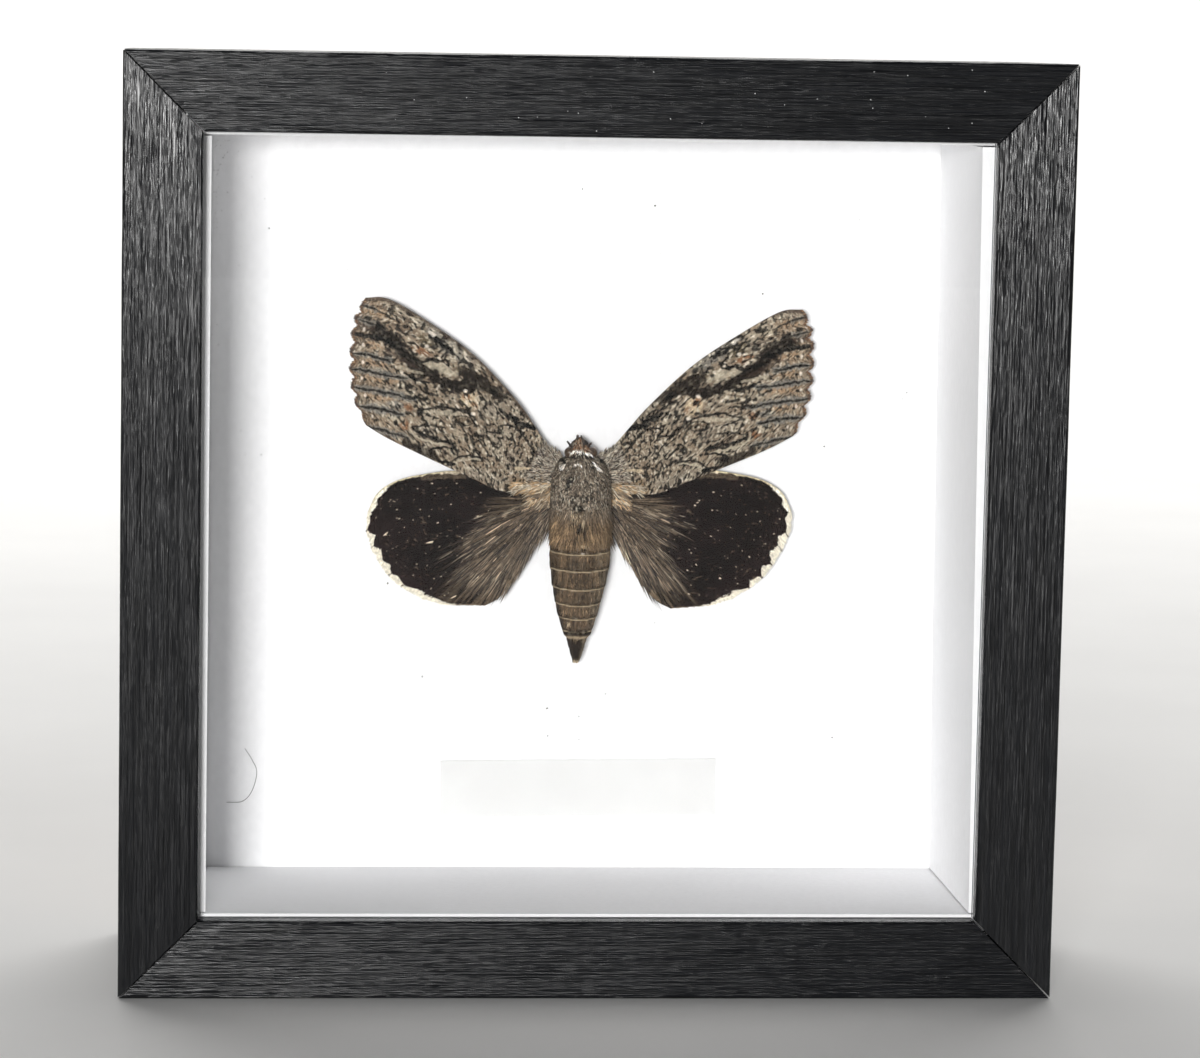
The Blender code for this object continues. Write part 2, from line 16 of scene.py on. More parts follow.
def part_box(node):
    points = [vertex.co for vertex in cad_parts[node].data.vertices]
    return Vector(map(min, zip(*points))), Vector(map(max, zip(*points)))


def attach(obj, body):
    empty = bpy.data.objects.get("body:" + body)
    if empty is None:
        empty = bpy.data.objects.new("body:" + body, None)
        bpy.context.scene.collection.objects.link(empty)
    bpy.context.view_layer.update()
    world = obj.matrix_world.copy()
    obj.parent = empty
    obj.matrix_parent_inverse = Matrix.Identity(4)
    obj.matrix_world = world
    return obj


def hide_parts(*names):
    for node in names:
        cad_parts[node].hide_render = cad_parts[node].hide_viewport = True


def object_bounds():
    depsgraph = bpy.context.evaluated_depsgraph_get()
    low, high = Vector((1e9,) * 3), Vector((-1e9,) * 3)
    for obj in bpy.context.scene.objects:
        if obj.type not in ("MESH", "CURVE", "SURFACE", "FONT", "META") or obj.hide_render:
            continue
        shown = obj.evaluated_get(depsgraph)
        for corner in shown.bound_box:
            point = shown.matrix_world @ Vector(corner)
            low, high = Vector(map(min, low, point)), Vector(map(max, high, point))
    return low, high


bl_info = {
    "name": "Framed Moth",
    "version": (1, 0, 0),
    "blender": (4, 5, 0),
    "location": "View3D > Sidebar > Framed Moth",
    "description": "Dresses a deep box frame and the moth set in it",
    "category": "Add Mesh",
}

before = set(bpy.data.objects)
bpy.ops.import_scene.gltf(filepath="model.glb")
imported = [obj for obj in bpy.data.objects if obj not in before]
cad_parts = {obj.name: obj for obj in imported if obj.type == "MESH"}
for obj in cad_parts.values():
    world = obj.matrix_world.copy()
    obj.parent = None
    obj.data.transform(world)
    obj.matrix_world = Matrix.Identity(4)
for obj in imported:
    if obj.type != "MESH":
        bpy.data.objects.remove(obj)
CAD_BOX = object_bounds()

MM = 0.001

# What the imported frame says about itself
FRONT_Y = CAD_BOX[0].y
SIDE = (CAD_BOX[1].x - CAD_BOX[0].x) / MM
HALF = SIDE / 2
CASE_DEPTH = (CAD_BOX[1].y - CAD_BOX[0].y) / MM
BOARD_FRONT = (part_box("mount_board")[0].y - FRONT_Y) / MM
STRIP_FRONT = (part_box("spacer_bottom")[0].y - FRONT_Y) / MM

# Rail section
MOULDING = 14.3
LIP = 2.7
RAIL_WALL = 11.0
FRONT_ARRIS = 0.6
BACK_ARRIS = 0.3
MITRE_GAP = 0.3
RAIL_ROWS = 84

# Moth, as in the solids
MOTH_RIGHT = 0.5
WING_CAMBER = 0.5
WING_PLEAT = 0.12
SHEET_THICKNESS = 0.22
UNDER_STEP = 4
FOREWING = {
    "lift": 4.8,
    "lobe_tips": [0.067, 0.18, 0.31, 0.455, 0.587, 0.725, 0.86, 0.985],
    "lobe_depth": 0.9,
    "steps": (280, 200),
    "lead": [(4.9, 9.8), (8.4, 15.1), (12.2, 20.3), (20.0, 28.4), (28.0, 34.2), (36.2, 38.9), (40.8, 39.2)],
    "margin": [
        (40.8, 39.2), (42.6, 35.8), (43.3, 32.0), (43.5, 28.0), (43.4, 24.0), (42.6, 19.8), (40.4, 15.2),
    ],
    "trail": [(7.2, 3.6), (14.2, 2.9), (20.2, 5.3), (28.2, 8.9), (36.2, 12.7), (40.4, 15.2)],
}
HINDWING = {
    "lift": 3.7,
    "lobe_tips": [0.04, 0.20, 0.32, 0.43, 0.535, 0.63, 0.74, 0.84],
    "lobe_depth": 0.5,
    "steps": (208, 240),
    "lead": [(6.3, 3.4), (13.0, 5.9), (22.8, 6.6), (29.2, 5.9), (34.4, 4.6), (38.0, 2.2), (39.8, -1.4)],
    "margin": [(39.8, -1.4), (39.9, -5.4), (37.8, -10.6), (33.8, -15.2), (26.8, -18.6), (17.4, -19.1)],
    "trail": [(6.3, -4.0), (9.6, -10.4), (12.0, -14.2), (14.6, -17.5), (17.4, -19.1)],
}
WING_SET = {
    "forewing_left": {"turn": 0.0, "stretch": 1.0, "flatten": 0.0, "draw_in": 0.0},
    "forewing_right": {"turn": -2.0, "stretch": 1.0, "flatten": 0.9, "draw_in": 0.1},
    "hindwing_left": {"turn": 0.0, "stretch": 1.0, "flatten": 0.0, "draw_in": 0.0},
    "hindwing_right": {"turn": 1.2, "stretch": 1.03, "flatten": 0.0, "draw_in": 0.9},
}
WING_HINGE = {"forewing": (5.0, 8.0), "hindwing": (6.0, 0.0)}
# How far the wings' roots run on into the thorax
ROOT_REACH = 1.7

# Where the hindwing's dark field ends: share along the margin, distance inside it
DARK_EDGE = {
    "left": [
        (0.0, 0.1), (0.03, 0.1), (0.09, 1.1), (0.18, 0.2), (0.22, 0.6), (0.26, 1.8), (0.31, 0.7), (0.37, 1.9),
        (0.415, 0.9), (0.475, 1.7), (0.52, 0.8), (0.575, 1.4), (0.62, 0.6), (0.70, 1.6), (0.77, 1.2),
        (0.83, 0.8), (0.86, 0.5), (1.0, 0.3),
    ],
    "right": [
        (0.0, 0.4), (0.04, 1.1), (0.12, 1.95), (0.22, 0.75), (0.29, 2.2), (0.33, 1.25), (0.40, 2.1),
        (0.445, 0.6), (0.51, 1.7), (0.55, 0.4), (0.615, 1.45), (0.645, 0.1), (0.71, 1.4), (0.78, 1.3),
        (0.85, 0.5), (0.90, 0.1), (1.0, 0.3),
    ],
}

# Where the drab hair of the hindwings ends: heights and the reach outward at each
HAIR_EDGE = {
    "left": ([-17.0, -12.0, -8.0, -5.0, -1.5, 1.5, 2.4], [24.5, 22.5, 20.8, 19.5, 17.6, 15.0, 11.0]),
    "right": ([-17.0, -14.0, -10.0, -8.0, -6.0, -3.5, -1.0, 1.8, 2.6],
              [20.0, 18.4, 16.4, 16.2, 17.4, 17.8, 17.0, 15.6, 11.0]),
}
# Where that hair fans out from
FAN_ROOT = (5.0, 1.0)
FAN_AIM = (4.0, 3.0)
TUFT_AIM = (3.0, 6.0)
# Width of the pale fringe that the table of the dark field is drawn for
FRINGE_WIDTH = 1.5
# How long and wide the wings are, for the grain of their scales
WING_LENGTH = 40.0
HINDWING_LENGTH = 31.0
ROOT_CHORD = 7.0
CHORD_GAIN = 17.0

# Body rings from the tail to the head: height, centre, half width, half thickness, lift
BODY_RINGS = [
    (-29.8, 0.1, 0.35, 0.35, 4.4),
    (-29.2, 0.1, 0.65, 0.60, 4.4),
    (-24.9, 0.2, 1.95, 1.75, 4.6),
    (-24.3, 0.2, 2.55, 2.35, 4.7),
    (-21.0, 0.2, 3.50, 3.10, 4.9),
    (-20.7, 0.2, 3.70, 3.25, 4.9),
    (-18.3, 0.2, 4.15, 3.70, 5.0),
    (-18.0, 0.2, 4.35, 3.85, 5.0),
    (-15.1, 0.3, 4.90, 4.25, 5.1),
    (-14.8, 0.3, 5.10, 4.40, 5.1),
    (-11.9, 0.4, 5.40, 4.60, 5.2),
    (-11.6, 0.4, 5.60, 4.75, 5.2),
    (-8.8, 0.4, 5.75, 4.80, 5.3),
    (-6.0, 0.4, 5.70, 4.90, 5.4),
    (-3.0, 0.4, 5.65, 5.10, 5.6),
    (0.0, 0.3, 5.75, 5.25, 5.7),
    (3.0, 0.3, 5.75, 5.30, 5.7),
    (6.0, 0.3, 5.45, 5.20, 5.7),
    (8.0, 0.3, 4.80, 4.70, 5.6),
    (9.2, 0.3, 4.00, 4.00, 5.5),
    (9.7, 0.2, 2.90, 3.30, 5.4),
    (10.7, 0.1, 2.60, 3.10, 5.3),
    (11.7, 0.0, 1.90, 2.60, 5.2),
    (12.6, 0.0, 1.20, 1.80, 5.1),
    (13.3, 0.0, 0.50, 0.90, 5.0),
]
BODY_STEPS = (240, 120)
EYE_RADIUS = 1.05
EYES = [(-1.95, 10.6, 6.5), (2.15, 10.6, 6.5)]
# Broken feelers and palps: base and tip with their radii
STUBS = [
    ((-1.3, 11.2, 6.9), (-2.6, 12.8, 7.8), 0.30, 0.16),
    ((0.8, 11.8, 6.8), (0.0, 13.9, 7.6), 0.34, 0.12),
    ((1.1, 11.5, 6.6), (2.0, 12.5, 7.4), 0.30, 0.16),
    ((-0.4, 12.3, 5.2), (-0.5, 13.8, 5.8), 0.45, 0.20),
]
PIT = {"place": (-0.5, 0.4), "half": (1.2, 0.75), "depth": 1.0}

# Hairs of the body: share of their number, lowest and highest root, spread round the body, length,
# width, heading, splay, contrast, rise and droop
BODY_HAIR = [
    (0.26, -0.8, 9.4, 1.75, 0.6, 0.15, 0.0, 0.55, 0.65, 0.26, 0.24),
    (0.17, -7.0, 0.4, 1.65, 2.7, 0.13, 0.0, 0.45, 0.50, 0.16, 0.16),
    (0.46, -23.6, -7.5, 1.75, 0.9, 0.11, 0.0, 0.08, 0.49, 0.08, 0.08),
    (0.05, 9.6, 12.8, 1.7, 0.6, 0.14, 0.0, 0.7, 0.60, 0.40, 0.30),
    (0.06, -29.0, -24.4, 1.7, 1.0, 0.10, 0.0, 0.05, 0.35, 0.08, 0.08),
]

# Painted shade in the gap behind the glass, the label, dust and what stands round the object
GAP_SHADE_REACH = 70.85
GAP_SHADE_WIDTH = 0.16
GAP_SHADE_THICKNESS = 0.12
LABEL_WIDTH = 53.0
LABEL_HEIGHT = 10.9
LABEL_THICKNESS = 0.18
LABEL_TURN = 0.7
# Larger specks on the board: how many, and how far from its middle they may lie
LARGE_SPECKS = 30
SPECK_REACH = 64.0
# A curved fibre at the lower left
FIBRE_PATH = [(-62.0, -47.4), (-60.6, -49.6), (-59.7, -52.0), (-60.6, -55.6), (-62.4, -57.6), (-65.4, -57.8)]
RAIL_SPECKS = 26
CORNER_FLECKS = 46

# Camera: place in millimetres from the middle of the front face, its aim in degrees,
# its lens in pixels of the picture and the pixel its axis passes through
PICTURE = (1200, 1058)
CAMERA_PLACE = (-70.0, -720.9452, 88.0)
CAMERA_TURN = -4.0967
CAMERA_RISE = 6.8444
CAMERA_ROLL = 0.9511
CAMERA_LENS = 4075.1756
CAMERA_AXIS = (494.44, 526.59)
SENSOR = 36.0

# Lights: place and aim in metres, and the two sides of the light
KEY_LIGHT = ((-0.84, -4.0, 0.37), (0.0, 0.0, HALF * MM), (0.88, 0.56))
BACKDROP_LIGHT = ((0.0, 1.15, 1.3), (0.0, 1.15, 0.0), (2.0, 0.9))
# Floor in metres: half width, front edge, where it starts to rise, radius of the bend
FLOOR = {"half_width": 3.0, "front": -2.2, "bend": 1.4, "radius": 0.8, "top": 3.0}

# Colours of scales and hair, linear
TONES = {
    "bark": (0.225, 0.182, 0.138),
    "grey": (0.235, 0.208, 0.172),
    "slate": (0.190, 0.186, 0.172),
    "tan": (0.300, 0.218, 0.148),
    "umber": (0.015, 0.0105, 0.0080),
    "brown": (0.060, 0.042, 0.033),
    "bronze": (0.120, 0.090, 0.062),
    "black": (0.0040, 0.0035, 0.0035),
    "rust": (0.210, 0.115, 0.065),
    "olive": (0.090, 0.074, 0.048),
    "cream": (0.520, 0.440, 0.320),
    "lichen": (0.400, 0.362, 0.290),
    "white": (0.820, 0.760, 0.680),
    "orange": (0.440, 0.280, 0.140),
    "night": (0.0040, 0.0022, 0.0020),
    "plum": (0.011, 0.0060, 0.0058),
    "drab": (0.135, 0.100, 0.068),
    "gold": (0.640, 0.560, 0.370),
    "fringe": (0.900, 0.840, 0.690),
    "thorax": (0.135, 0.112, 0.088),
    "hair": (0.205, 0.150, 0.095),
    "abdomen": (0.118, 0.088, 0.060),
    "flank": (0.155, 0.132, 0.100),
}

# Middle of the scale that deepen() stretches, and how much
MIDDLE_GREY = 0.21
CONTRAST = 1.3

# Forewing markings, in millimetres outward and upward from the body: points, width, tone, strength
FOREWING_LINES = [
    ([(8.6, 15.3), (12.2, 20.2), (20.0, 28.3), (28.0, 34.0), (36.0, 38.6), (40.4, 38.9)],
     0.90, "brown", 0.60),
    ([(14.8, 21.0), (17.0, 22.2), (19.5, 23.8), (22.2, 25.4)], 2.4, "umber", 0.80),
    ([(42.4, 38.1), (40.6, 37.6), (38.7, 36.9)], 1.0, "slate", 0.60),
    ([(42.0, 35.0), (39.5, 34.4), (37.0, 33.5)], 1.0, "slate", 0.55),
    ([(42.8, 28.9), (39.4, 28.2), (36.0, 27.3)], 1.1, "slate", 0.65),
    ([(42.9, 25.8), (38.0, 25.0), (33.0, 24.0)], 1.1, "slate", 0.65),
    ([(43.3, 22.4), (37.4, 21.5), (31.5, 20.2)], 1.1, "slate", 0.65),
    ([(42.0, 18.9), (37.8, 18.2), (33.5, 17.3)], 1.2, "slate", 0.65),
    ([(40.0, 15.0), (36.2, 14.0), (32.5, 12.8)], 1.2, "slate", 0.60),
    ([(20.4, 22.6), (23.5, 22.8), (27.2, 24.1)], 2.3, "umber", 0.95),
    ([(26.0, 23.8), (30.5, 26.2), (34.5, 29.0)], 2.1, "umber", 0.92),
    ([(33.0, 28.4), (35.4, 31.0), (38.2, 33.3)], 2.9, "umber", 0.92),
    ([(31.2, 26.4), (33.8, 27.6), (36.6, 29.2)], 0.8, "brown", 0.60),
    ([(34.0, 29.8), (38.0, 31.6), (42.4, 32.3)], 1.1, "black", 0.92),
    ([(24.5, 29.5), (26.4, 30.8), (28.5, 32.2)], 0.95, "black", 0.85),
    ([(23.6, 25.1), (26.0, 26.1), (29.4, 27.0)], 1.2, "lichen", 0.55),
    ([(25.5, 28.5), (26.2, 27.4), (27.5, 27.6), (28.5, 27.9), (30.0, 27.3), (32.0, 27.9), (34.0, 28.6)],
     0.40, "black", 0.95),
    ([(42.4, 38.1), (40.6, 37.6), (38.7, 36.9), (35.2, 35.2)], 0.38, "black", 0.80),
    ([(42.0, 35.0), (39.5, 34.4), (37.0, 33.5)], 0.36, "black", 0.80),
    ([(42.8, 28.9), (39.4, 28.2), (36.0, 27.3)], 0.40, "black", 0.88),
    ([(42.9, 25.8), (38.0, 25.0), (33.0, 24.0)], 0.40, "black", 0.85),
    ([(43.3, 22.4), (37.4, 21.5), (31.5, 20.2)], 0.40, "black", 0.82),
    ([(42.0, 18.9), (37.8, 18.2), (33.5, 17.3)], 0.42, "black", 0.88),
    ([(40.0, 15.0), (36.2, 14.0), (32.5, 12.8)], 0.42, "black", 0.82),
    ([(28.8, 23.3), (31.0, 24.0), (33.6, 25.0)], 0.62, "black", 0.95),
    ([(30.0, 25.1), (32.3, 25.7), (34.6, 26.3)], 0.60, "lichen", 0.55),
    ([(19.8, 16.5), (20.8, 17.7), (23.0, 18.3), (25.5, 18.7), (27.2, 19.0)], 0.38, "black", 0.90),
    ([(27.8, 18.6), (30.4, 18.3), (29.5, 17.6), (27.0, 16.6)], 0.38, "black", 0.88),
    ([(23.4, 17.5), (26.5, 17.8), (29.2, 18.0)], 0.70, "lichen", 0.60),
    ([(20.2, 15.9), (21.5, 15.3), (23.6, 15.7), (24.2, 16.6), (22.8, 17.2), (20.8, 17.0), (20.1, 16.2)],
     0.28, "black", 0.65),
    ([(24.0, 11.2), (24.3, 12.0), (26.0, 12.4), (29.0, 13.3), (31.5, 14.7)], 0.60, "black", 0.95),
    ([(31.7, 15.0), (28.6, 15.3), (25.5, 15.0)], 0.34, "black", 0.78),
    ([(32.3, 15.4), (31.8, 14.0), (29.7, 12.7), (26.2, 11.7), (24.7, 10.9)], 0.36, "lichen", 0.70),
    ([(24.0, 11.0), (25.5, 11.2), (27.5, 11.0), (28.2, 10.4), (27.6, 9.6), (26.5, 8.8), (24.5, 8.3)],
     0.45, "black", 0.92),
    ([(29.1, 11.3), (29.1, 10.1), (28.2, 9.1)], 0.36, "lichen", 0.60),
    ([(23.5, 7.9), (25.2, 8.2), (27.0, 8.8)], 0.65, "black", 0.90),
    ([(26.6, 8.8), (30.0, 10.5), (33.2, 12.3)], 1.4, "umber", 0.78),
    ([(18.7, 8.8), (20.5, 9.0), (22.5, 8.8), (23.4, 8.2), (23.2, 7.5)], 0.34, "lichen", 0.70),
    ([(18.6, 9.3), (20.5, 9.5), (22.7, 9.4), (24.0, 8.6)], 0.32, "black", 0.85),
    ([(18.5, 8.9), (19.2, 10.3), (20.0, 11.9), (18.6, 12.8)], 0.34, "black", 0.80),
    ([(6.5, 9.5), (8.0, 10.0), (9.5, 12.0), (11.5, 14.5), (12.5, 15.3)], 0.38, "black", 0.82),
    ([(12.7, 15.0), (14.0, 15.5), (15.5, 15.0), (14.8, 13.9), (17.5, 14.2)], 0.38, "black", 0.88),
    ([(8.8, 14.9), (10.2, 15.4), (11.6, 16.0), (13.2, 17.0), (14.9, 18.3)], 1.15, "black", 0.92),
    ([(7.0, 6.6), (9.0, 7.2), (12.0, 7.4)], 0.60, "cream", 0.60),
    ([(27.0, 21.0), (28.3, 21.3), (29.6, 21.8)], 0.34, "black", 0.78),
    ([(28.5, 20.2), (30.7, 20.4), (33.0, 20.9)], 0.36, "black", 0.80),
    ([(14.6, 8.2), (16.2, 10.4), (15.2, 12.6)], 0.28, "black", 0.55),
    ([(17.4, 12.8), (18.4, 14.6), (18.0, 16.4), (19.2, 17.8)], 0.28, "black", 0.50),
    ([(22.4, 13.0), (24.4, 13.4), (26.6, 13.9)], 0.28, "black", 0.45),
]
# Patches: centre, half length, half width, turn in degrees, tone, strength
FOREWING_PATCHES = [
    ((25.6, 30.8), 6.2, 1.7, 42, "slate", 0.65),
    ((20.0, 24.2), 4.4, 1.3, 32, "olive", 0.65),
    ((28.9, 30.8), 2.2, 1.2, 35, "olive", 0.80),
    ((30.1, 29.2), 2.1, 0.8, 22, "rust", 0.90),
    ((40.2, 33.5), 2.5, 0.95, 8, "brown", 0.85),
    ((38.9, 36.6), 2.3, 0.9, 18, "tan", 0.85),
    ((39.0, 30.3), 2.1, 0.7, 8, "tan", 0.90),
    ((38.8, 27.0), 2.2, 0.65, 10, "tan", 0.90),
    ((38.2, 24.1), 4.1, 1.0, 10, "tan", 0.85),
    ((38.0, 20.6), 3.2, 1.0, 8, "tan", 0.80),
    ((33.2, 15.4), 1.5, 0.9, 50, "rust", 0.88),
    ((32.5, 18.8), 1.0, 0.8, 20, "rust", 0.85),
    ((35.0, 19.2), 1.7, 0.75, 12, "slate", 0.75),
    ((34.6, 16.5), 1.7, 0.8, 22, "lichen", 0.78),
    ((22.1, 16.3), 2.0, 0.9, 8, "bronze", 0.70),
    ((26.2, 10.0), 1.5, 0.7, 8, "brown", 0.65),
    ((21.1, 20.2), 2.3, 1.6, 62, "cream", 0.78),
    ((21.5, 20.8), 1.15, 0.85, 62, "rust", 0.92),
    ((20.0, 19.2), 0.85, 0.6, 45, "rust", 0.85),
    ((10.5, 4.2), 3.8, 1.4, -3, "hair", 0.85),
    ((9.5, 4.0), 2.4, 0.6, 0, "orange", 0.70),
    ((17.6, 5.8), 5.0, 1.2, 18, "grey", 0.60),
    ((12.0, 18.6), 3.4, 1.4, 50, "grey", 0.45),
    ((17.0, 18.6), 3.0, 1.8, 45, "grey", 0.55),
    ((30.0, 22.3), 1.8, 0.6, 15, "bronze", 0.45),
    ((24.6, 20.4), 1.6, 1.0, 20, "grey", 0.50),
]
# Spots drawn over the specks: centre, half length, half width, turn, tone, strength
FOREWING_SPOTS = [
    ((16.5, 21.8), 1.15, 0.65, 35, "black", 0.92),
    ((21.0, 26.8), 0.70, 0.45, 40, "black", 0.85),
    ((40.4, 35.4), 1.1, 0.45, 15, "black", 0.88),
    ((28.2, 32.6), 0.85, 0.42, 38, "white", 0.50),
    ((29.2, 30.2), 0.42, 0.34, 0, "white", 0.50),
    ((20.2, 17.6), 0.42, 0.34, 0, "white", 0.50),
    ((21.8, 21.9), 0.42, 0.34, 0, "white", 0.50),
    ((40.3, 30.3), 0.38, 0.30, 0, "black", 0.95),
    ((40.3, 26.9), 0.38, 0.30, 0, "black", 0.95),
    ((40.7, 23.8), 0.38, 0.30, 0, "black", 0.95),
    ((40.2, 20.4), 0.38, 0.30, 0, "black", 0.95),
    ((38.5, 16.2), 0.38, 0.30, 0, "black", 0.95),
    ((41.1, 30.3), 0.26, 0.42, 0, "white", 0.50),
    ((41.1, 27.1), 0.26, 0.42, 0, "white", 0.50),
    ((41.3, 24.1), 0.26, 0.42, 0, "white", 0.50),
    ((40.6, 20.8), 0.26, 0.42, 0, "white", 0.50),
    ((39.2, 16.9), 0.26, 0.42, 0, "white", 0.50),
    ((41.0, 33.2), 0.30, 0.46, 0, "white", 0.50),
    ((41.6, 36.1), 0.30, 0.46, 0, "white", 0.50),
]

HINDWING_LINES = [
    ([(21.5, 5.6), (25.0, 5.6), (29.5, 5.1)], 1.0, "drab", 0.45),
    ([(36.2, 3.7), (38.2, 1.7), (39.3, -0.4), (39.8, -1.9)], 1.25, "fringe", 0.92),
    ([(22.0, 6.6), (24.0, 6.5), (29.2, 5.9), (34.4, 4.6), (38.0, 2.2), (39.7, -1.2)], 0.42, "gold", 0.80),
    ([(22.0, 6.3), (24.0, 6.3), (26.0, 6.1)], 0.50, "cream", 0.80),
    ([(7.0, 3.0), (9.5, 3.2), (12.8, 3.6)], 1.6, "orange", 0.65),
    ([(8.0, 1.6), (12.0, 2.0), (18.0, 2.5)], 0.60, "night", 0.90),
    ([(6.3, 1.7), (7.6, 1.2), (9.0, 0.8)], 0.40, "cream", 0.90),
    ([(9.0, 0.8), (13.0, -0.8), (17.0, -3.0)], 0.28, "cream", 0.30),
    ([(7.0, -5.0), (9.6, -10.4), (12.2, -14.2), (14.9, -17.3)], 1.0, "hair", 0.60),
]

# Larger pale flecks on the hindwings: outward, upward and length
HINDWING_FLECKS = {
    "left": [
        (18.5, 2.5, 0.5), (17.0, -0.9, 0.5), (18.8, -1.9, 0.5), (24.0, 0.3, 0.4), (26.4, -3.2, 0.5),
        (21.8, -6.1, 0.6), (20.7, -6.0, 0.5), (27.4, -6.8, 1.5), (34.3, -0.7, 0.4), (32.7, -4.1, 0.4),
        (36.0, -5.2, 1.2), (23.0, 4.2, 0.4), (27.6, 4.2, 0.4), (30.4, 3.1, 0.4), (18.2, -8.7, 0.5),
        (20.4, -11.7, 0.5), (22.8, -17.1, 1.3), (18.5, -13.5, 0.6), (18.7, -13.4, 0.5),
    ],
    "right": [
        (22.0, 0.6, 0.5), (22.5, 0.9, 0.4), (21.6, 0.2, 0.4), (24.8, -0.7, 0.4), (29.2, -1.5, 0.5),
        (24.6, -5.6, 0.4), (31.8, -9.6, 0.4), (22.0, -10.7, 0.5), (20.3, -11.9, 0.5), (26.3, -13.4, 0.5),
        (29.7, -14.5, 0.4), (20.5, -16.3, 0.5), (17.5, -13.2, 0.6),
    ],
}

BODY_LINES = [
    ([(-4.5, 8.8), (-3.3, 9.5), (-1.0, 10.25), (1.0, 10.25), (3.0, 9.6), (4.3, 9.1)], 0.70, "black", 0.95),
    ([(-3.1, 10.2), (-1.0, 10.95), (0.6, 10.8), (2.2, 10.1)], 0.40, "white", 0.95),
    ([(-3.0, 8.4), (-3.1, 9.3)], 0.50, "black", 0.90),
    ([(2.0, 8.0), (2.1, 9.3)], 0.50, "black", 0.90),
    ([(-3.8, 7.8), (-3.1, 8.5)], 0.60, "white", 0.85),
    ([(2.4, 8.9), (3.5, 7.5)], 0.55, "white", 0.85),
    ([(-1.4, 8.5), (-0.8, 8.8), (-0.2, 8.5)], 0.30, "white", 0.50),
    ([(-2.8, 4.2), (-2.3, 5.3), (-1.5, 6.3)], 0.85, "black", 0.90),
    ([(-1.7, 1.3), (-1.6, 2.4), (-0.8, 3.0), (0.1, 2.5), (0.2, 1.6)], 0.42, "black", 0.75),
    ([(1.0, 2.4), (0.9, 1.3)], 0.45, "black", 0.85),
    ([(-1.8, -0.5), (-0.5, -1.0), (0.9, -0.5)], 0.42, "cream", 0.60),
    ([(-1.6, -1.7), (0.0, -2.8), (1.8, -1.6)], 0.70, "black", 0.82),
    ([(-0.9, -4.6), (0.9, -4.6)], 0.45, "black", 0.65),
    ([(-2.6, 10.6), (-1.2, 12.4), (-0.3, 13.5)], 0.50, "umber", 0.80),
    ([(2.6, 10.6), (1.3, 12.3), (0.3, 13.4)], 0.50, "umber", 0.80),
]
BODY_PATCHES = [
    ((0.8, 5.7), 0.40, 0.32, 0, "black", 0.80),
    ((-0.8, 2.0), 0.60, 0.55, 0, "grey", 0.85),
    ((0.6, -6.9), 0.60, 0.30, 0, "cream", 0.65),
    ((0.6, -7.5), 0.55, 0.36, 0, "black", 0.95),
    ((0.5, -8.2), 0.40, 0.24, 0, "white", 0.85),
    ((-1.8, -21.8), 0.45, 0.3, 60, "cream", 0.60),
    ((0.0, -13.2), 2.4, 1.2, 0, "umber", 0.45),
    ((0.0, -16.6), 2.2, 1.1, 0, "umber", 0.40),
    ((0.2, -9.9), 2.6, 0.9, 0, "umber", 0.35),
]
SEGMENT_LINES = [-8.2, -11.4, -15.0, -18.1, -20.8, -23.4]
SEGMENT_SAG = 0.35


def to_world(right, up, behind):
    """Metres in the frame's axes from millimetres about the middle of the front face."""
    right, up, behind = np.broadcast_arrays(right, up, behind)
    return np.stack([right * MM, FRONT_Y + behind * MM, (up + HALF) * MM], axis=-1).reshape(-1, 3)


def moth_world(right, up, lift):
    """Metres in the frame's axes from the moth's own millimetres."""
    return to_world(np.asarray(right) + MOTH_RIGHT, up, BOARD_FRONT - np.asarray(lift))


def smoothstep(low, high, value):
    """0 below low, 1 above high, smooth between."""
    share = np.clip((value - low) / (high - low), 0.0, 1.0)
    return share * share * (3.0 - 2.0 * share)


def value_noise(x, y, seed):
    """Smooth noise from -1 to 1 with one lattice point a unit."""
    lattice = np.random.default_rng(seed).random((256, 256)) * 2.0 - 1.0
    x, y = np.broadcast_arrays(x, y)
    column = np.floor(x).astype(int)
    row = np.floor(y).astype(int)
    across = smoothstep(0.0, 1.0, x - column)
    along = smoothstep(0.0, 1.0, y - row)
    near = lattice[column % 256, row % 256] * (1 - across) + lattice[(column + 1) % 256, row % 256] * across
    far_left = lattice[column % 256, (row + 1) % 256]
    far_right = lattice[(column + 1) % 256, (row + 1) % 256]
    far = far_left * (1 - across) + far_right * across
    return near * (1 - along) + far * along


def smooth_curve(points, share):
    """Points on the smooth curve through the given ones, share running from 0 to 1."""
    points = np.asarray(points, float)
    padded = np.vstack([2 * points[0] - points[1], points, 2 * points[-1] - points[-2]])
    place = np.clip(share, 0.0, 1.0) * (len(points) - 1)
    span = np.minimum(place.astype(int), len(points) - 2)
    t = (place - span)[..., None]
    before, near, far, after = (padded[span + k] for k in range(4))
    square = before * 2 - near * 5 + far * 4 - after
    cube = near * 3 - before - far * 3 + after
    return (near * 2 + (far - before) * t + square * t**2 + cube * t**3) / 2


def beside(points, share, inward):
    """Points on the smooth curve, moved to its right-hand side."""
    step = 0.001
    tangent = smooth_curve(points, share + step) - smooth_curve(points, share - step)
    tangent /= np.linalg.norm(tangent, axis=-1, keepdims=True)
    right_hand = np.stack([tangent[..., 1], -tangent[..., 0]], axis=-1)
    return smooth_curve(points, share) + right_hand * np.asarray(inward)[..., None]


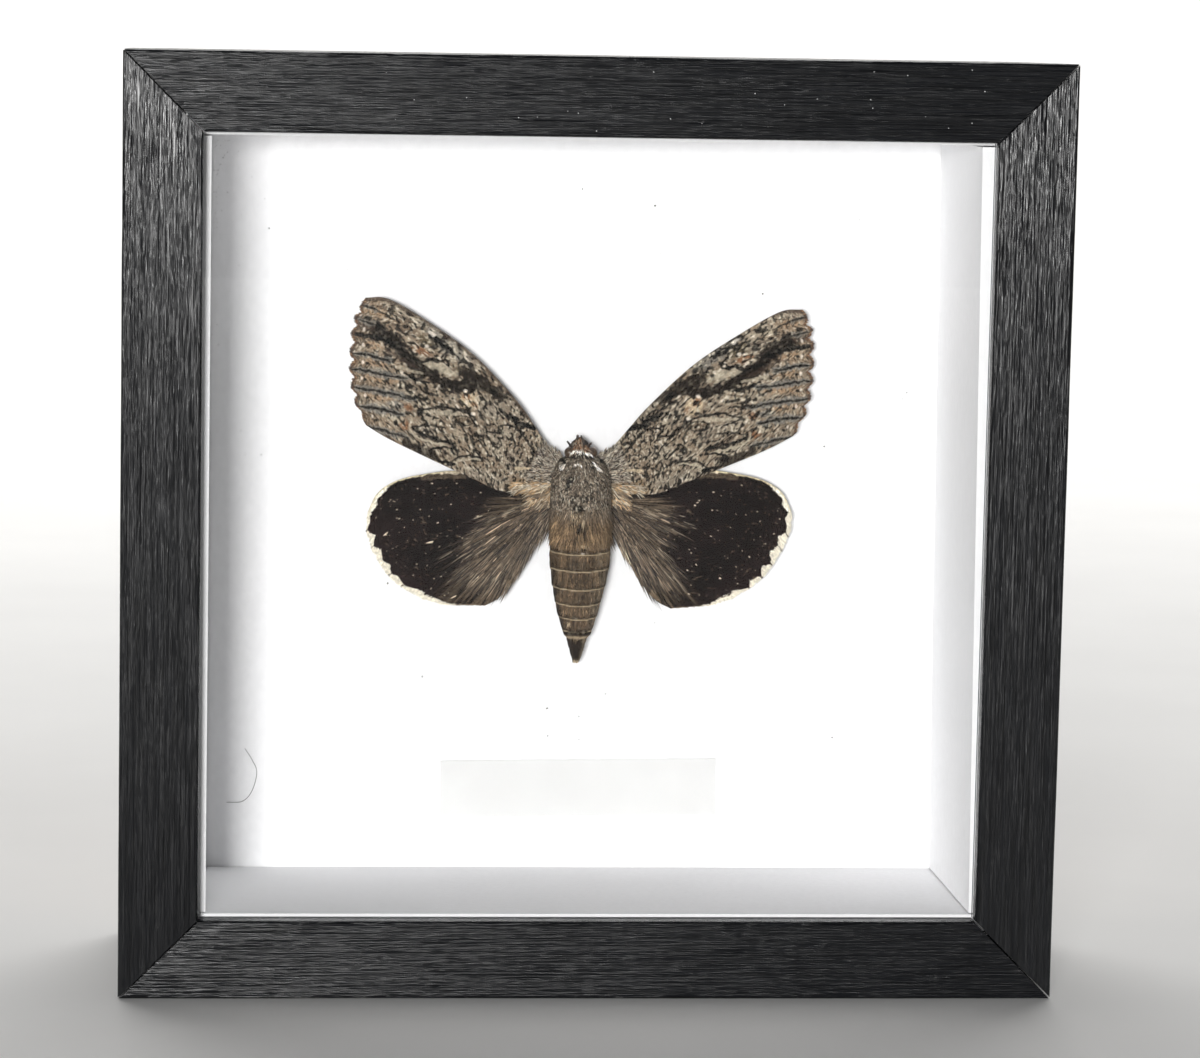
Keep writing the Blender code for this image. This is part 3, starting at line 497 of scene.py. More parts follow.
def distance_to_line(x, y, points):
    """Distance of each place from a smooth line, and how far along the line it is, 0 to 1."""
    line = smooth_curve(points, np.linspace(0.0, 1.0, 4 * (len(points) - 1) + 1))
    nearest = np.full(x.shape, 1e9)
    share = np.zeros(x.shape)
    for number, (start, end) in enumerate(zip(line, line[1:])):
        run = end - start
        t = ((x - start[0]) * run[0] + (y - start[1]) * run[1]) / max(run @ run, 1e-9)
        t = np.clip(t, 0.0, 1.0)
        gap = np.hypot(x - start[0] - t * run[0], y - start[1] - t * run[1])
        closer = gap < nearest
        nearest = np.where(closer, gap, nearest)
        share = np.where(closer, (number + t) / (len(line) - 1), share)
    return nearest, share


def blend(colour, tone, mask):
    """Mix a tone into colours by a mask."""
    return colour + (np.asarray(tone) - colour) * np.clip(mask, 0.0, 1.0)[..., None]


def draw_line(colour, x, y, points, width, tone, strength):
    """A scaly line, narrower at its ends and uneven along its edges."""
    wander = 0.14 * value_noise(x / 0.8, y / 0.8, 11) + 0.10 * value_noise(x / 0.3, y / 0.3, 12)
    wander = wander + 0.16 * width * value_noise(x / 1.3, y / 0.7, 16)
    gap, share = distance_to_line(x + wander, y - wander, points)
    uneven = 1 + 0.42 * value_noise(x / 0.55, y / 0.45, 13)
    half = width * 0.58 * (0.70 + 0.30 * np.sin(np.pi * share)) * uneven
    mask = 1.0 - smoothstep(half * 0.75, half * 1.15 + 0.04, gap)
    broken = smoothstep(-0.95, -0.45, value_noise(x / 0.45, y / 0.45, 14))
    return blend(colour, TONES[tone], mask * strength * (0.78 + 0.32 * broken))


def draw_patch(colour, x, y, centre, half_length, half_width, turn, tone, strength):
    """A soft oval patch with an uneven edge."""
    angle = math.radians(turn)
    dx = x - centre[0]
    dy = y - centre[1]
    along = (dx * math.cos(angle) + dy * math.sin(angle)) / half_length
    across = (dy * math.cos(angle) - dx * math.sin(angle)) / half_width
    reach = np.hypot(along, across) + 0.28 * value_noise(x / 0.55, y / 0.55, 15)
    return blend(colour, TONES[tone], (1.0 - smoothstep(0.62, 1.18, reach)) * strength)


def deepen(colour):
    """Darken what is darker than the middle grey and lighten what is lighter."""
    return MIDDLE_GREY * (colour / MIDDLE_GREY) ** CONTRAST


def speckle(colour, along, across, amount, seed):
    """Dark and pale specks of scales, longer than they are wide."""
    fine = 0.30 * value_noise(along / 0.62, across / 0.50, seed + 1)
    dark = value_noise(along / 0.36, across / 0.27, seed) + fine
    pale = value_noise(along / 0.33, across / 0.26, seed + 2) - fine
    colour = blend(colour, TONES["lichen"], smoothstep(0.15, 0.50, pale) * amount * 0.75)
    colour = blend(colour, TONES["white"], smoothstep(0.60, 0.85, pale) * amount * 0.35)
    return blend(colour, TONES["black"], smoothstep(0.10, 0.38, dark) * amount)


def grid_quads(rows, columns, start=0):
    """Faces of a grid of points stored row by row."""
    corner = start + np.arange(rows * columns).reshape(rows, columns)
    quads = np.stack([corner[:-1, :-1], corner[1:, :-1], corner[1:, 1:], corner[:-1, 1:]], axis=-1)
    return quads.reshape(-1, 4).tolist()


def add_object(name, data):
    """Put a mesh, curve, light or camera in the scene."""
    item = bpy.data.objects.new(name, data)
    bpy.context.scene.collection.objects.link(item)
    return item


def piece_from(builder, name, material):
    """A mesh object from what a builder holds."""
    mesh = bpy.data.meshes.new(name)
    builder.to_mesh(mesh)
    builder.free()
    mesh.materials.append(material)
    return add_object(name, mesh)


def make_piece(name, points, faces, material, tint=None, grain=None, closed=False):
    """A mesh object with its colours and the direction of its grain stored on its points."""
    mesh = bpy.data.meshes.new(name)
    mesh.from_pydata(points.tolist(), [], faces)
    if closed:
        builder = bmesh.new()
        builder.from_mesh(mesh)
        bmesh.ops.recalc_face_normals(builder, faces=builder.faces)
        builder.to_mesh(mesh)
        builder.free()
    if tint is not None:
        layer = mesh.color_attributes.new("tint", "FLOAT_COLOR", "POINT")
        rgba = np.concatenate([np.clip(tint, 0.0, 1.0), np.ones((len(tint), 1))], axis=1)
        layer.data.foreach_set("color", rgba.astype(np.float32).ravel())
    if grain is not None:
        layer = mesh.attributes.new("grain", "FLOAT_VECTOR", "POINT")
        layer.data.foreach_set("vector", grain.astype(np.float32).ravel())
    mesh.materials.append(material)
    mesh.shade_smooth()
    return add_object(name, mesh)


def dress(piece, slot, *nodes):
    """Fix a piece to the frame and hide the solids it stands for; the slot for its finish is not used."""
    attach(piece, "root")
    if nodes:
        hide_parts(*nodes)
    return piece


class Nodes:
    """A short way to write a material's node tree."""

    def __init__(self, name, roughness, metallic=0.0):
        self.material = bpy.data.materials.new(name)
        self.material.use_nodes = True
        self.tree = self.material.node_tree
        self.shader = self.tree.nodes["Principled BSDF"]
        self.shader.inputs["Roughness"].default_value = roughness
        self.shader.inputs["Metallic"].default_value = metallic

    def add(self, kind, **values):
        """A node with properties by attribute name and sockets by socket name."""
        node = self.tree.nodes.new(kind)
        for key, value in values.items():
            if hasattr(node, key):
                setattr(node, key, value)
            else:
                node.inputs[key.replace("_", " ")].default_value = value
        return node

    def link(self, source, target):
        """Join an output to an input."""
        self.tree.links.new(source, target)

    def place(self, attribute=None, stretch=(1.0, 1.0, 1.0)):
        """Coordinates in metres, from the object or a stored attribute, stretched."""
        if attribute:
            source = self.add("ShaderNodeAttribute", attribute_name=attribute).outputs["Vector"]
        else:
            source = self.add("ShaderNodeTexCoord").outputs["Object"]
        mapping = self.add("ShaderNodeMapping")
        mapping.inputs["Scale"].default_value = stretch
        self.link(source, mapping.inputs["Vector"])
        return mapping.outputs["Vector"]

    def noise(self, place, scale, detail=2.0, low=0.35, high=0.65, start=0.0, end=1.0):
        """Noise through a range."""
        texture = self.add("ShaderNodeTexNoise", Scale=scale, Detail=detail)
        self.link(place, texture.inputs["Vector"])
        reach = self.add("ShaderNodeMapRange", From_Min=low, From_Max=high, To_Min=start, To_Max=end)
        self.link(texture.outputs["Fac"], reach.inputs["Value"])
        return reach.outputs["Result"]

    def mix(self, factor, first, second):
        """A colour between two, each a colour or an output."""
        node = self.add("ShaderNodeMix", data_type="RGBA")
        self.link(factor, node.inputs["Factor"])
        for value, socket in ((first, node.inputs[6]), (second, node.inputs[7])):
            if isinstance(value, bpy.types.NodeSocket):
                self.link(value, socket)
            else:
                socket.default_value = (*value, 1.0)
        return node.outputs[2]

    def multiply(self, colour, factor):
        """A colour made lighter or darker by a value."""
        node = self.add("ShaderNodeVectorMath", operation="SCALE")
        self.link(colour, node.inputs[0])
        self.link(factor, node.inputs["Scale"])
        return node.outputs["Vector"]

    def colour(self, source):
        """Set the base colour from an output."""
        self.link(source, self.shader.inputs["Base Color"])

    def rough(self, source):
        """Set the roughness from an output."""
        self.link(source, self.shader.inputs["Roughness"])

    def bump(self, height, distance, strength=1.0):
        """Add fine relief, its distance in millimetres."""
        node = self.add("ShaderNodeBump", Strength=strength, Distance=distance * MM)
        self.link(height, node.inputs["Height"])
        self.link(node.outputs["Normal"], self.shader.inputs["Normal"])


def ribbed_black(settings):
    """Black foil pressed with a fine broken rib."""
    nodes = Nodes("ribbed_black", 0.3)
    nodes.shader.inputs["Specular IOR Level"].default_value = 0.30
    fine = nodes.place("grain", (1.0, 36.0, 36.0))
    streak = nodes.noise(fine, 80.0, 2.0)
    nodes.colour(nodes.mix(streak, tuple(settings.rail_colour), (0.005, 0.0055, 0.007)))
    nodes.rough(nodes.noise(fine, 60.0, 2.0, start=0.16, end=0.25))
    nodes.bump(nodes.noise(fine, 95.0, 2.0), 0.07)
    return nodes.material


def clear_glass():
    """Clear float glass."""
    nodes = Nodes("clear_glass", 0.0)
    nodes.shader.inputs["Transmission Weight"].default_value = 1.0
    nodes.shader.inputs["IOR"].default_value = 1.26
    smear = nodes.noise(nodes.place(), 18.0, 3.0)
    nodes.colour(nodes.mix(smear, (0.985, 0.99, 0.99), (1.0, 1.0, 1.0)))
    return nodes.material


def white_card(settings):
    """White card with a faint fibre."""
    nodes = Nodes("white_card", 0.8)
    fibre = nodes.noise(nodes.place(None, (1.0, 1.0, 0.6)), 900.0, 4.0)
    cloud = nodes.noise(nodes.place(), 30.0, 2.0, start=0.975, end=1.0)
    white = tuple(settings.card_colour)
    shade = tuple(0.965 * value for value in white)
    nodes.colour(nodes.multiply(nodes.mix(fibre, shade, white), cloud))
    nodes.bump(fibre, 0.02, 0.5)
    return nodes.material


def label_paper(settings):
    """Off-white, slightly translucent sticker paper."""
    nodes = Nodes("label_paper", 0.5)
    cloud = nodes.noise(nodes.place(), 110.0, 4.0)
    base = tuple(settings.label_colour)
    nodes.colour(nodes.mix(cloud, tuple(0.95 * value for value in base), base))
    nodes.bump(nodes.noise(nodes.place(), 1400.0, 3.0), 0.015, 0.6)
    return nodes.material


def brown_hardboard():
    """Pressed brown fibreboard."""
    nodes = Nodes("brown_hardboard", 0.6)
    fibre = nodes.noise(nodes.place(None, (1.0, 1.0, 2.2)), 480.0, 6.0, 0.3, 0.7)
    cloud = nodes.noise(nodes.place(), 26.0, 3.0, start=0.82, end=1.08)
    nodes.colour(nodes.multiply(nodes.mix(fibre, (0.17, 0.092, 0.045), (0.33, 0.205, 0.115)), cloud))
    nodes.rough(nodes.noise(nodes.place(), 60.0, 2.0, start=0.5, end=0.72))
    nodes.bump(fibre, 0.06, 0.8)
    return nodes.material


def zinc_steel():
    """Zinc-plated steel with spangle and small scratches."""
    nodes = Nodes("zinc_steel", 0.34, 1.0)
    spangle = nodes.noise(nodes.place(), 420.0, 2.0, 0.3, 0.7)
    nodes.colour(nodes.mix(spangle, (0.46, 0.47, 0.48), (0.70, 0.70, 0.68)))
    scratch = nodes.noise(nodes.place(None, (1.0, 1.0, 14.0)), 160.0, 3.0, start=0.24, end=0.5)
    nodes.rough(scratch)
    nodes.bump(scratch, 0.02, 0.4)
    return nodes.material


def scales(name, roughness, grain_scale):
    """Matt scales: the stored tint, broken up by fine grain."""
    nodes = Nodes(name, roughness)
    nodes.shader.inputs["Specular IOR Level"].default_value = 0.04
    tint = nodes.add("ShaderNodeAttribute", attribute_name="tint").outputs["Color"]
    fine = nodes.noise(nodes.place("grain", (1.0, 1.6, 1.6)), grain_scale, 2.0, start=0.72, end=1.28)
    nodes.colour(nodes.multiply(tint, fine))
    nodes.bump(fine, 0.05, 0.7)
    return nodes.material


def hair_material(name, roughness):
    """Fine hair, tinted hair by hair."""
    nodes = Nodes(name, roughness)
    nodes.shader.inputs["Specular IOR Level"].default_value = 0.15
    tint = nodes.add("ShaderNodeAttribute", attribute_name="tint").outputs["Color"]
    nodes.colour(nodes.multiply(tint, nodes.noise(nodes.place(), 2600.0, 1.0, start=0.8, end=1.2)))
    return nodes.material


def plain_tinted(name, dark, light, scale, roughness):
    """A small plain finish with a soft mottle."""
    nodes = Nodes(name, roughness)
    nodes.colour(nodes.mix(nodes.noise(nodes.place(), scale, 3.0), dark, light))
    return nodes.material


def arc(centre, radius, start, end, steps):
    """Points of an arc, its angles in degrees."""
    angles = np.radians(np.linspace(start, end, steps))
    return [(centre[0] + radius * math.cos(a), centre[1] + radius * math.sin(a)) for a in angles]


def rail_section():
    """Closed section: behind the front, in from the outer face, and whether it is ribbed."""
    outer = [(d, 0.0) for d in np.linspace(CASE_DEPTH - BACK_ARRIS, FRONT_ARRIS + 0.3, 190)]
    arris = arc((FRONT_ARRIS, FRONT_ARRIS), FRONT_ARRIS, 270, 180, 7)
    front = [(0.0, i) for i in np.linspace(FRONT_ARRIS + 0.1, MOULDING - FRONT_ARRIS - 0.1, 122)]
    inner = arc((FRONT_ARRIS, MOULDING - FRONT_ARRIS), FRONT_ARRIS, 180, 90, 6)
    ribbed = len(outer) + len(arris) + len(front)
    lip = [(1.6, MOULDING), (LIP, MOULDING), (LIP, 12.6), (LIP, RAIL_WALL)]
    wall = [(d, RAIL_WALL) for d in (20.0, 38.0, CASE_DEPTH)]
    back = [(CASE_DEPTH, 5.0)] + arc((CASE_DEPTH - BACK_ARRIS, BACK_ARRIS), BACK_ARRIS, 0, -60, 3)
    section = np.array(outer + arris + front + inner + lip + wall + back)
    weight = np.zeros(len(section))
    weight[:ribbed] = 1.0
    return section, weight


def rail_piece(side, turn, settings, material):
    """One rail with pressed ribs along it and mitred ends."""
    section, weight = rail_section()
    after = np.roll(section, -1, axis=0)
    before = np.roll(section, 1, axis=0)
    tangent = after - before
    tangent /= np.linalg.norm(tangent, axis=1, keepdims=True)
    inward = np.stack([-tangent[:, 1], tangent[:, 0]], axis=1)
    if inward[0, 1] < 0:
        inward = -inward
    across = np.concatenate([[0.0], np.cumsum(np.linalg.norm(np.diff(section, axis=0), axis=1))])
    along = np.linspace(-1.0, 1.0, RAIL_ROWS)[:, None] * HALF
    pitch = settings.rib_pitch / MM
    seed = 20 + 5 * turn
    ribs = 0.55 * value_noise(across / pitch + 300 * turn, along / 34.0 + 20, seed)
    ribs = ribs + 0.45 * value_noise(across / (pitch * 0.52), along / 15.0 + 40, seed + 1)
    groove = settings.rib_depth / MM * np.clip(0.5 - 0.75 * ribs, 0.0, 1.0) * weight
    place = section[None] + inward[None] * groove[..., None]
    reach = HALF - place[..., 1] - MITRE_GAP / math.sqrt(2)
    x = along / HALF * reach
    z = place[..., 1] - HALF
    angle = turn * math.pi / 2
    right = x * math.cos(angle) + z * math.sin(angle)
    up = z * math.cos(angle) - x * math.sin(angle)
    points = to_world(right, up, place[..., 0])
    columns = len(section)
    corner = np.arange(RAIL_ROWS * columns).reshape(RAIL_ROWS, columns)
    following = np.roll(corner, -1, axis=1)
    quads = np.stack([corner[:-1], following[:-1], following[1:], corner[1:]], axis=-1).reshape(-1, 4)
    faces = quads.tolist() + [corner[0].tolist(), corner[-1].tolist()]
    grain = np.stack([x, np.broadcast_to(across, x.shape), np.full(x.shape, 40.0 * turn)], axis=-1) * MM
    name = "rail_" + side + "_ribbed"
    piece = make_piece(name, points, faces, material, grain=grain.reshape(-1, 3), closed=True)
    piece.data.set_sharp_from_angle(angle=math.radians(55))
    return dress(piece, "frame_black", "rail_" + side)


def lobe_count(wing, share):
    """How many lobes lie before a place on the margin, each lobe's tip being half-way through it."""
    tips = [-wing["lobe_tips"][0], *wing["lobe_tips"], 2.0 - wing["lobe_tips"][-1]]
    return np.interp(share, tips, np.arange(len(tips)) - 0.5)


def notch_depth(wing, share):
    """How far the margin is cut in between its lobes."""
    ends = np.minimum(1.0, np.minimum(8.0 * share, 8.0 * (1.0 - share)))
    return wing["lobe_depth"] * (1.0 - np.abs(np.sin(math.pi * lobe_count(wing, share)))) * ends


def wing_point(wing, values, outward, across):
    """Places on a wing's outline patch: outward from the root, across from the leading edge."""
    lead = beside(wing["lead"], outward, values["flatten"] * np.sin(math.pi * outward))
    trail = smooth_curve(wing["trail"], outward)
    edge = across[..., None]
    tip = np.asarray(wing["lead"][-1]) * (1 - edge) + np.asarray(wing["trail"][-1]) * edge
    ragged = 0.10 * value_noise(across * 90.0, 0.5, 31) * np.minimum(1.0, 8.0 * across * (1.0 - across))
    inward = values["draw_in"] * np.sin(math.pi * across) + notch_depth(wing, across) + ragged
    margin = beside(wing["margin"], across, inward)
    return lead * (1 - edge) + trail * edge + (margin - tip) * outward[..., None]


def wing_grid(kind, side, outward, across):
    """Flat places in the wing's own axes, and as it is set on the moth with its root in the thorax."""
    wing = FOREWING if kind == "forewing" else HINDWING
    values = WING_SET[kind + "_" + side]
    flat = wing_point(wing, values, outward, across)
    pivot = np.asarray(WING_HINGE[kind])
    angle = math.radians(values["turn"])
    spin = np.array([[math.cos(angle), -math.sin(angle)], [math.sin(angle), math.cos(angle)]])
    placed = (flat - pivot) @ (spin.T * values["stretch"]) + pivot
    right = placed[..., 0] - ROOT_REACH * (1.0 - smoothstep(0.0, 0.07, outward))
    mirror = -1.0 if side == "left" else 1.0
    return flat, right * mirror, placed[..., 1]


def chord(outward):
    """About how wide a wing is at a share of its length."""
    return ROOT_CHORD + CHORD_GAIN * outward


def wing_lift(wing, side, outward, across):
    """Height above the board: camber, pleats, raised veins and a slight dried waviness."""
    camber = WING_CAMBER * np.sin(math.pi * across) * np.sin(math.pi * outward)
    count = lobe_count(wing, across)
    pleat = WING_PLEAT * np.cos(2 * math.pi * count) * outward
    off_vein = (np.mod(count, 1.0) - 0.5) / len(wing["lobe_tips"]) * chord(outward)
    vein = 0.11 * np.exp(-((off_vein / 0.22) ** 2)) * smoothstep(0.05, 0.3, outward)
    wave = 0.16 * value_noise(outward * 7.0 + 9, across * 5.0, 35 if side == "left" else 36)
    return wing["lift"] + camber - pleat + vein + wave * smoothstep(0.0, 0.3, outward)


def forewing_colour(x, y, along, across_mm, outward, across, side):
    """Bark-like scales with the forewing's bands, lines and spots."""
    seed = 50 if side == "left" else 60
    colour = np.broadcast_to(np.asarray(TONES["bark"]), x.shape + (3,)).copy()
    colour = blend(colour, TONES["tan"], 0.35 * smoothstep(0.60, 1.0, outward))
    cloud = value_noise(x / 2.6, y / 2.0, seed)
    colour = blend(colour, TONES["grey"], 0.55 * smoothstep(-0.2, 0.6, cloud))
    streak = value_noise(along / 2.4, across_mm / 0.45, seed + 1)
    colour = blend(colour, TONES["brown"], 0.50 * smoothstep(0.20, 0.75, streak))
    colour = blend(colour, TONES["lichen"], 0.40 * smoothstep(0.25, 0.8, -streak))
    for patch in FOREWING_PATCHES:
        colour = draw_patch(colour, x, y, *patch)
    smooth_part = smoothstep(0.74, 0.9, outward) * 0.30
    colour = speckle(colour, along, across_mm, 0.92 - smooth_part, seed + 2)
    for points, width, tone, strength in FOREWING_LINES:
        colour = draw_line(colour, x, y, points, width, tone, strength)
    for spot in FOREWING_SPOTS:
        colour = draw_patch(colour, x, y, *spot)
    colour = speckle(colour, along + 7.0, across_mm + 3.0, 0.16, seed + 5)
    rim = smoothstep(0.972, 0.992, outward)
    colour = blend(colour, TONES["brown"], rim * 0.85)
    rusty = 0.5 * smoothstep(0.0, 0.5, value_noise(across * 90.0, 3.0, seed + 9))
    return deepen(blend(colour, TONES["rust"], rim * rusty))


def fan_place(x, y):
    """Angle and distance from where the hindwing's hair fans out."""
    return np.arctan2(y - FAN_ROOT[1], x - FAN_ROOT[0]), np.hypot(x - FAN_ROOT[0], y - FAN_ROOT[1])


def hair_share(x, y, side):
    """Where the drab hair of the hindwing's base lies, 1 near the body."""
    edge = np.interp(y, *HAIR_EDGE[side])
    angle, radius = fan_place(x, y)
    seed = 71 if side == "left" else 76
    comb = 2.4 * value_noise(angle * 26.0, radius / 9.0, seed)
    comb = comb + 1.8 * value_noise(angle * 60.0, radius / 5.0, seed + 1)
    share = smoothstep(-2.4, 2.4, edge - x + comb)
    return share * (1.0 - smoothstep(2.0, 3.0, y))


def dark_edge(side, across):
    """How far inside its outer margin the hindwing's dark field ends, in millimetres."""
    share, depth = np.array(DARK_EDGE[side]).T
    scale = bpy.context.scene.framed_moth.fringe_width / (FRINGE_WIDTH * MM)
    return np.interp(across + 0.006 * value_noise(across * 70.0, 5.0, 98), share, depth) * scale


def hindwing_colour(x, y, along, across_mm, outward, across, side):
    """Black-brown scales, the drab base and the pale scalloped fringe."""
    seed = 80 if side == "left" else 90
    colour = np.broadcast_to(np.asarray(TONES["night"]), x.shape + (3,)).copy()
    sheen = value_noise(x / 5.0, y / 5.0, seed)
    colour = blend(colour, TONES["plum"], 0.5 * smoothstep(-0.3, 0.7, sheen))
    colour = blend(colour, TONES["plum"], 0.8 * smoothstep(0.75, 0.95, outward))
    angle, radius = fan_place(x, y)
    ray = 0.6 * value_noise(angle * 55.0, radius / 7.0, seed + 1)
    ray = ray + 0.6 * value_noise(angle * 110.0, radius / 4.0, seed + 6)
    drab = np.asarray(TONES["drab"]) * np.clip(0.50 + 0.90 * ray, 0.04, 1.7)[..., None]
    colour = colour + (drab - colour) * (hair_share(x, y, side) * 0.92)[..., None]
    for points, width, tone, strength in HINDWING_LINES:
        colour = draw_line(colour, x, y, points, width, tone, strength)
    grain = value_noise(along / 0.36, across_mm / 0.26, seed + 2)
    colour = colour * (1.0 + 0.45 * grain)[..., None]
    fleck = value_noise(along / 0.60, across_mm / 0.26, seed + 3)
    colour = blend(colour, TONES["drab"], 0.60 * smoothstep(0.72, 0.88, fleck))
    inside = (1.0 - outward) * HINDWING_LENGTH + notch_depth(HINDWING, across)
    edge = dark_edge(side, across) + 0.14 * value_noise(across * 170.0, inside / 0.4, seed + 4)
    edge = edge + 0.30 * value_noise(across * 58.0, 0.5, seed + 7)
    pale = 1.0 - smoothstep(edge - 0.10, edge + 0.10, inside)
    tail = smoothstep(0.84, 0.92, across)
    fringe = blend(np.broadcast_to(np.asarray(TONES["fringe"]), x.shape + (3,)), TONES["drab"], tail)
    rim = smoothstep(edge - 0.35, edge - 0.05, inside)
    fringe = blend(fringe, TONES["orange"], 0.45 * rim)
    colour = colour + (fringe - colour) * pale[..., None]
    at_tooth = 1.0 - smoothstep(0.004, 0.010, np.abs(across[..., None] - teeth(side)).min(axis=-1))
    blot = at_tooth * pale * smoothstep(-0.5, 0.3, value_noise(across * 120.0, inside / 0.5, 97))
    return blend(colour, TONES["brown"], blot * 0.85)


def teeth(side):
    """Shares along the margin where the dark field reaches furthest into the fringe."""
    points = DARK_EDGE[side]
    return np.array([
        here[0] for before, here, after in zip(points, points[1:], points[2:])
        if here[1] < min(before[1], after[1]) and here[0] < 0.86
    ])


def wing_piece(kind, side, material, slot):
    """A wing as a fine sheet: scaled face towards the glass, plainer face below."""
    wing = FOREWING if kind == "forewing" else HINDWING
    painter = forewing_colour if kind == "forewing" else hindwing_colour
    rows, columns = wing["steps"]
    outward = np.linspace(0.0, 1.0, rows + 1)[:, None] * np.ones((1, columns + 1))
    across = np.ones((rows + 1, 1)) * np.linspace(0.0, 1.0, columns + 1)[None, :]
    flat, right, up = wing_grid(kind, side, outward, across)
    lift = wing_lift(wing, side, outward, across)
    along = outward * WING_LENGTH
    across_mm = across * chord(outward)
    colour = painter(flat[..., 0], flat[..., 1], along, across_mm, outward, across, side)
    scale_relief = 0.02 * value_noise(along / 0.4, across_mm / 0.3, 41)
    top = moth_world(right, up, lift + SHEET_THICKNESS / 2 + scale_relief)
    under = (slice(None, None, UNDER_STEP), slice(None, None, UNDER_STEP))
    bottom = moth_world(right[under], up[under], lift[under] - SHEET_THICKNESS / 2)
    shape = right[under].shape
    faces = grid_quads(rows + 1, columns + 1) + grid_quads(*shape, start=len(top))
    fine = np.arange((rows + 1) * (columns + 1)).reshape(rows + 1, columns + 1)
    coarse = len(top) + np.arange(shape[0] * shape[1]).reshape(shape)
    for rim, under_rim in (
        (fine[0], coarse[0]),
        (fine[-1], coarse[-1]),
        (fine[:, 0], coarse[:, 0]),
        (fine[:, -1], coarse[:, -1]),
    ):
        for step in range(len(under_rim) - 1):
            upper = rim[step * UNDER_STEP:(step + 1) * UNDER_STEP + 1].tolist()
            faces.append(upper + [int(under_rim[step + 1]), int(under_rim[step])])
    underside = colour[under] * 0.55 + np.asarray(TONES["drab"]) * 0.45
    tint = np.concatenate([colour.reshape(-1, 3), underside.reshape(-1, 3)])
    grain = np.stack([along, across_mm, lift], axis=-1)
    grain = np.concatenate([grain.reshape(-1, 3), grain[under].reshape(-1, 3)]) * MM
    node = kind + "_" + side
    points = np.concatenate([top, bottom])
    piece = make_piece(node + "_scales", points, faces, material, tint, grain, True)
    return dress(piece, slot, node)


def body_shape(up):
    """Centre, half width, half thickness and lift of the body at given heights."""
    rings = np.asarray(BODY_RINGS)
    return tuple(np.interp(up, rings[:, 0], rings[:, k]) for k in (1, 2, 3, 4))


def pit_reach(right, up):
    """Distance from the pit's middle as a share of its half sizes."""
    return np.hypot((right - PIT["place"][0]) / PIT["half"][0], (up - PIT["place"][1]) / PIT["half"][1])


def body_relief(right, up):
    """Tufts, shoulder lobes and the pit, as a height over the lofted body."""
    height = np.zeros(np.broadcast_shapes(np.shape(right), np.shape(up)))
    for side in (-1, 1):
        reach = np.hypot((right - side * 4.0) / 1.9, (up - 5.2) / 4.2)
        height = height + 0.55 * (1.0 - smoothstep(0.5, 1.1, reach))
    tuft = np.hypot((right + 0.3) / 1.3, (up - 1.5) / 1.2)
    height = height + 0.35 * (1.0 - smoothstep(0.3, 1.1, tuft))
    return height - PIT["depth"] * (1.0 - smoothstep(0.55, 1.05, pit_reach(right, up)))


def body_surface(up, angle):
    """Right, height and lift of points round the body, angle 0 to the right and 90 at the top."""
    centre, half_width, half_depth, lift = body_shape(up)
    right = centre + half_width * np.cos(angle)
    top = np.clip(np.sin(angle), 0.0, 1.0)
    relief = body_relief(right, up) * top * top
    ripple = 0.10 * value_noise(angle * 9.0, up / 0.9, 101) + 0.06 * value_noise(angle * 22.0, up / 0.4, 102)
    radius = 1.0 + (relief + ripple * smoothstep(0.3, 1.5, half_width)) / np.maximum(half_depth, 0.5)
    rippled = centre + (right - centre) * (1 + (radius - 1) * 0.4)
    return rippled, up, lift + half_depth * np.sin(angle) * radius


